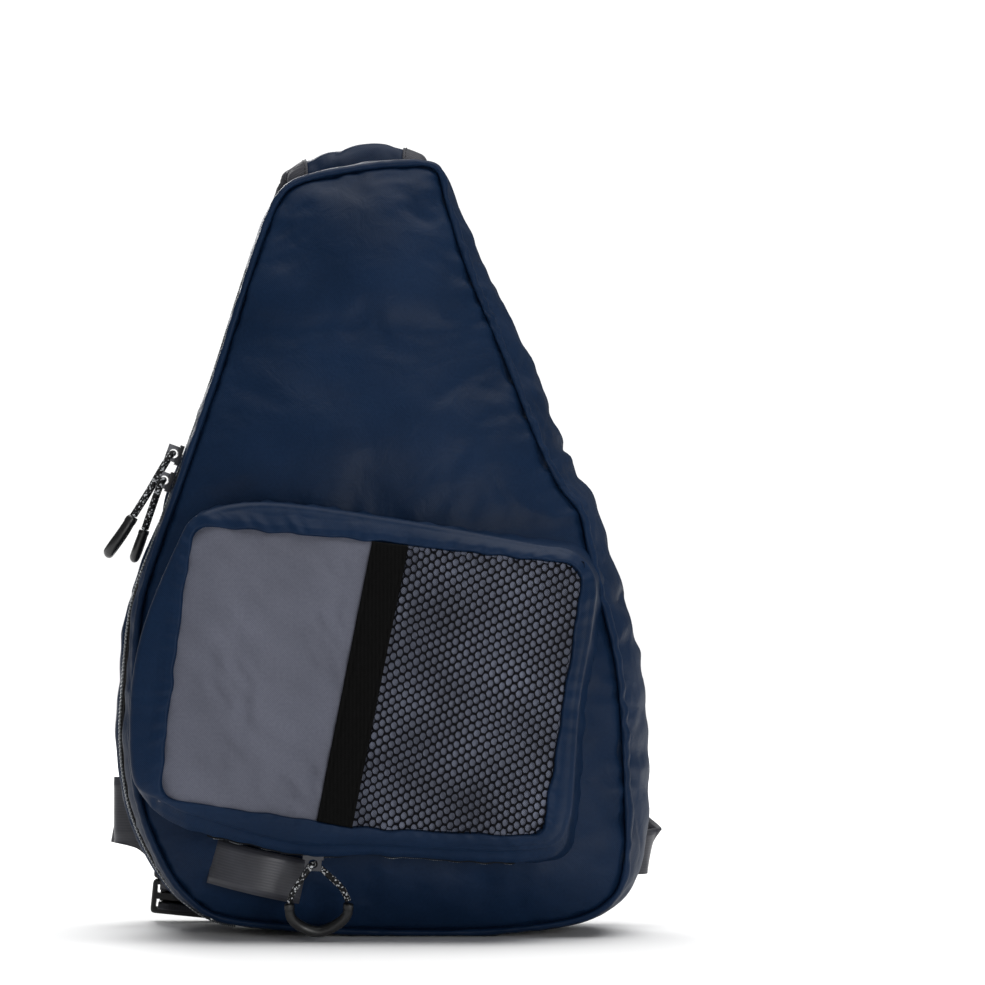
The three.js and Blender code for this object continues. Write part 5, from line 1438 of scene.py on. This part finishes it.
# Kernmantle cord, braided from nylon yarns 0.8 mm wide: black, with white yarns that show as
# flecks where they cross the surface.
cord_across = 3.2 * mm
cord_braid, tree, shader = finish_of("kernmantle_cord_nylon", 0.55, gloss=0.2)
cut = node(tree, "UVMap", {"uv_map": "cut"})
parts = node(tree, "SeparateXYZ", inputs={0: cut})
yarn_spacing = math.pi * cord_across / 4
left = node(tree, "Math", {"operation": "ADD"}, {0: parts.outputs["X"], 1: parts.outputs["Y"]})
right = node(tree, "Math", {"operation": "SUBTRACT"}, {0: parts.outputs["X"], 1: parts.outputs["Y"]})
left, right = waves(tree, left, yarn_spacing), waves(tree, right, yarn_spacing)
plait = node(tree, "Math", {"operation": "MULTIPLY"}, {0: left, 1: right})
tracer = node(tree, "TexVoronoi", {"feature": "F1"},
              {"Vector": cut, "Scale": 1200.0, "Randomness": 0.9})
tracer_on = node(tree, "SeparateColor", inputs={0: tracer.outputs["Color"]})
tracer_on = node(tree, "Math", {"operation": "GREATER_THAN"}, {0: tracer_on, 1: 0.84})
tone = node(tree, "Mix", {"data_type": "RGBA"},
            {"Factor": tracer_on, 6: hex_colour("121315"), 7: hex_colour("b9bcbf")})
feed(tree, shader, {"Base Color": tone.outputs[2]})
yarns = node(tree, "Bump", inputs={"Strength": 0.7, "Distance": 0.3 * mm, "Height": plait})
feed(tree, shader, {"Normal": yarns})
grip_vinyl = moulded("grip_black_thermoplastic_rubber", "0b0c0d", "18191b", 0.36, 0.2)

pulls = [
    ("side_pull_upper", "side_pull_cord_upper", "side_pull_grip_upper",
     [(-133.5, -24, 224.5), (-125, -24.5, 238), (-116.5, -24, 252.5), (-112.8, -21.2, 258),
      (-111.9, -17.2, 258.3), (-112.8, -13.2, 258), (-116.5, -10.5, 252.5), (-125, -9.5, 238), (-133.5, -10, 224.5)],
     [(-133.8, -24, 224), (-139.5, -24.3, 215), (-144.5, -22.5, 208), (-146.8, -17.2, 204.8),
      (-144.5, -11.7, 208), (-139.5, -9.8, 215), (-133.8, -10, 224)]),
    ("side_pull_lower", "side_pull_cord_lower", "side_pull_grip_lower",
     [(-127.8, -15.5, 217.5), (-124, -19.5, 228), (-119.8, -23.2, 239), (-117.6, -21.8, 243.6),
      (-117, -17.8, 244), (-117.6, -13.8, 243.6), (-119.8, -11, 239), (-124, -5.5, 228), (-127.8, -1.5, 217.5)],
     [(-128, -15.3, 216.9), (-130.3, -14.2, 210.5), (-132.5, -10.5, 204.5), (-133.4, -7, 202.3),
      (-132.5, -3.2, 204.5), (-130.3, -1.6, 210.5), (-128, -1.6, 216.9)]),
    ("pocket_pull", "pocket_pull_cord", "pocket_pull_grip",
     [(-46.8, -85, 21.4), (-45, -88, 26), (-40, -91.5, 34), (-35, -91, 40.9), (-34, -87, 41.5),
      (-33, -83, 40.9), (-26, -82, 35), (-19, -82.5, 28), (-15.7, -83.5, 21.4)],
     [(-46.9, -84.9, 20.3), (-46, -83, 13), (-40, -80, 7.6), (-31.5, -79, 5.2), (-22, -80, 9),
      (-16.5, -82, 14.5), (-15.7, -83.4, 20.3)]),
]
grip_across = 6.2 * mm


def grip_swell(share):
    """The moulded grip is thickest at its middle, with a collar at either end."""
    return 0.78 + 0.22 * np.sin(np.pi * share) ** 0.6 + 0.1 * (np.abs(share - 0.5) > 0.44)


for name, cord_node, grip_node, cord_route, grip_route in pulls:
    grip, _, _ = tube(name + "_grip_moulding", np.array(grip_route) * mm, grip_across, 0.85, 20,
                      grip_vinyl, 70, grip_swell)
    belongs(grip, grip_node)
    cord, cord_line, cord_length = tube(name + "_cord_loop", np.array(cord_route) * mm, cord_across,
                                        1.0, 16, cord_braid, 110)
    belongs(cord, cord_node)
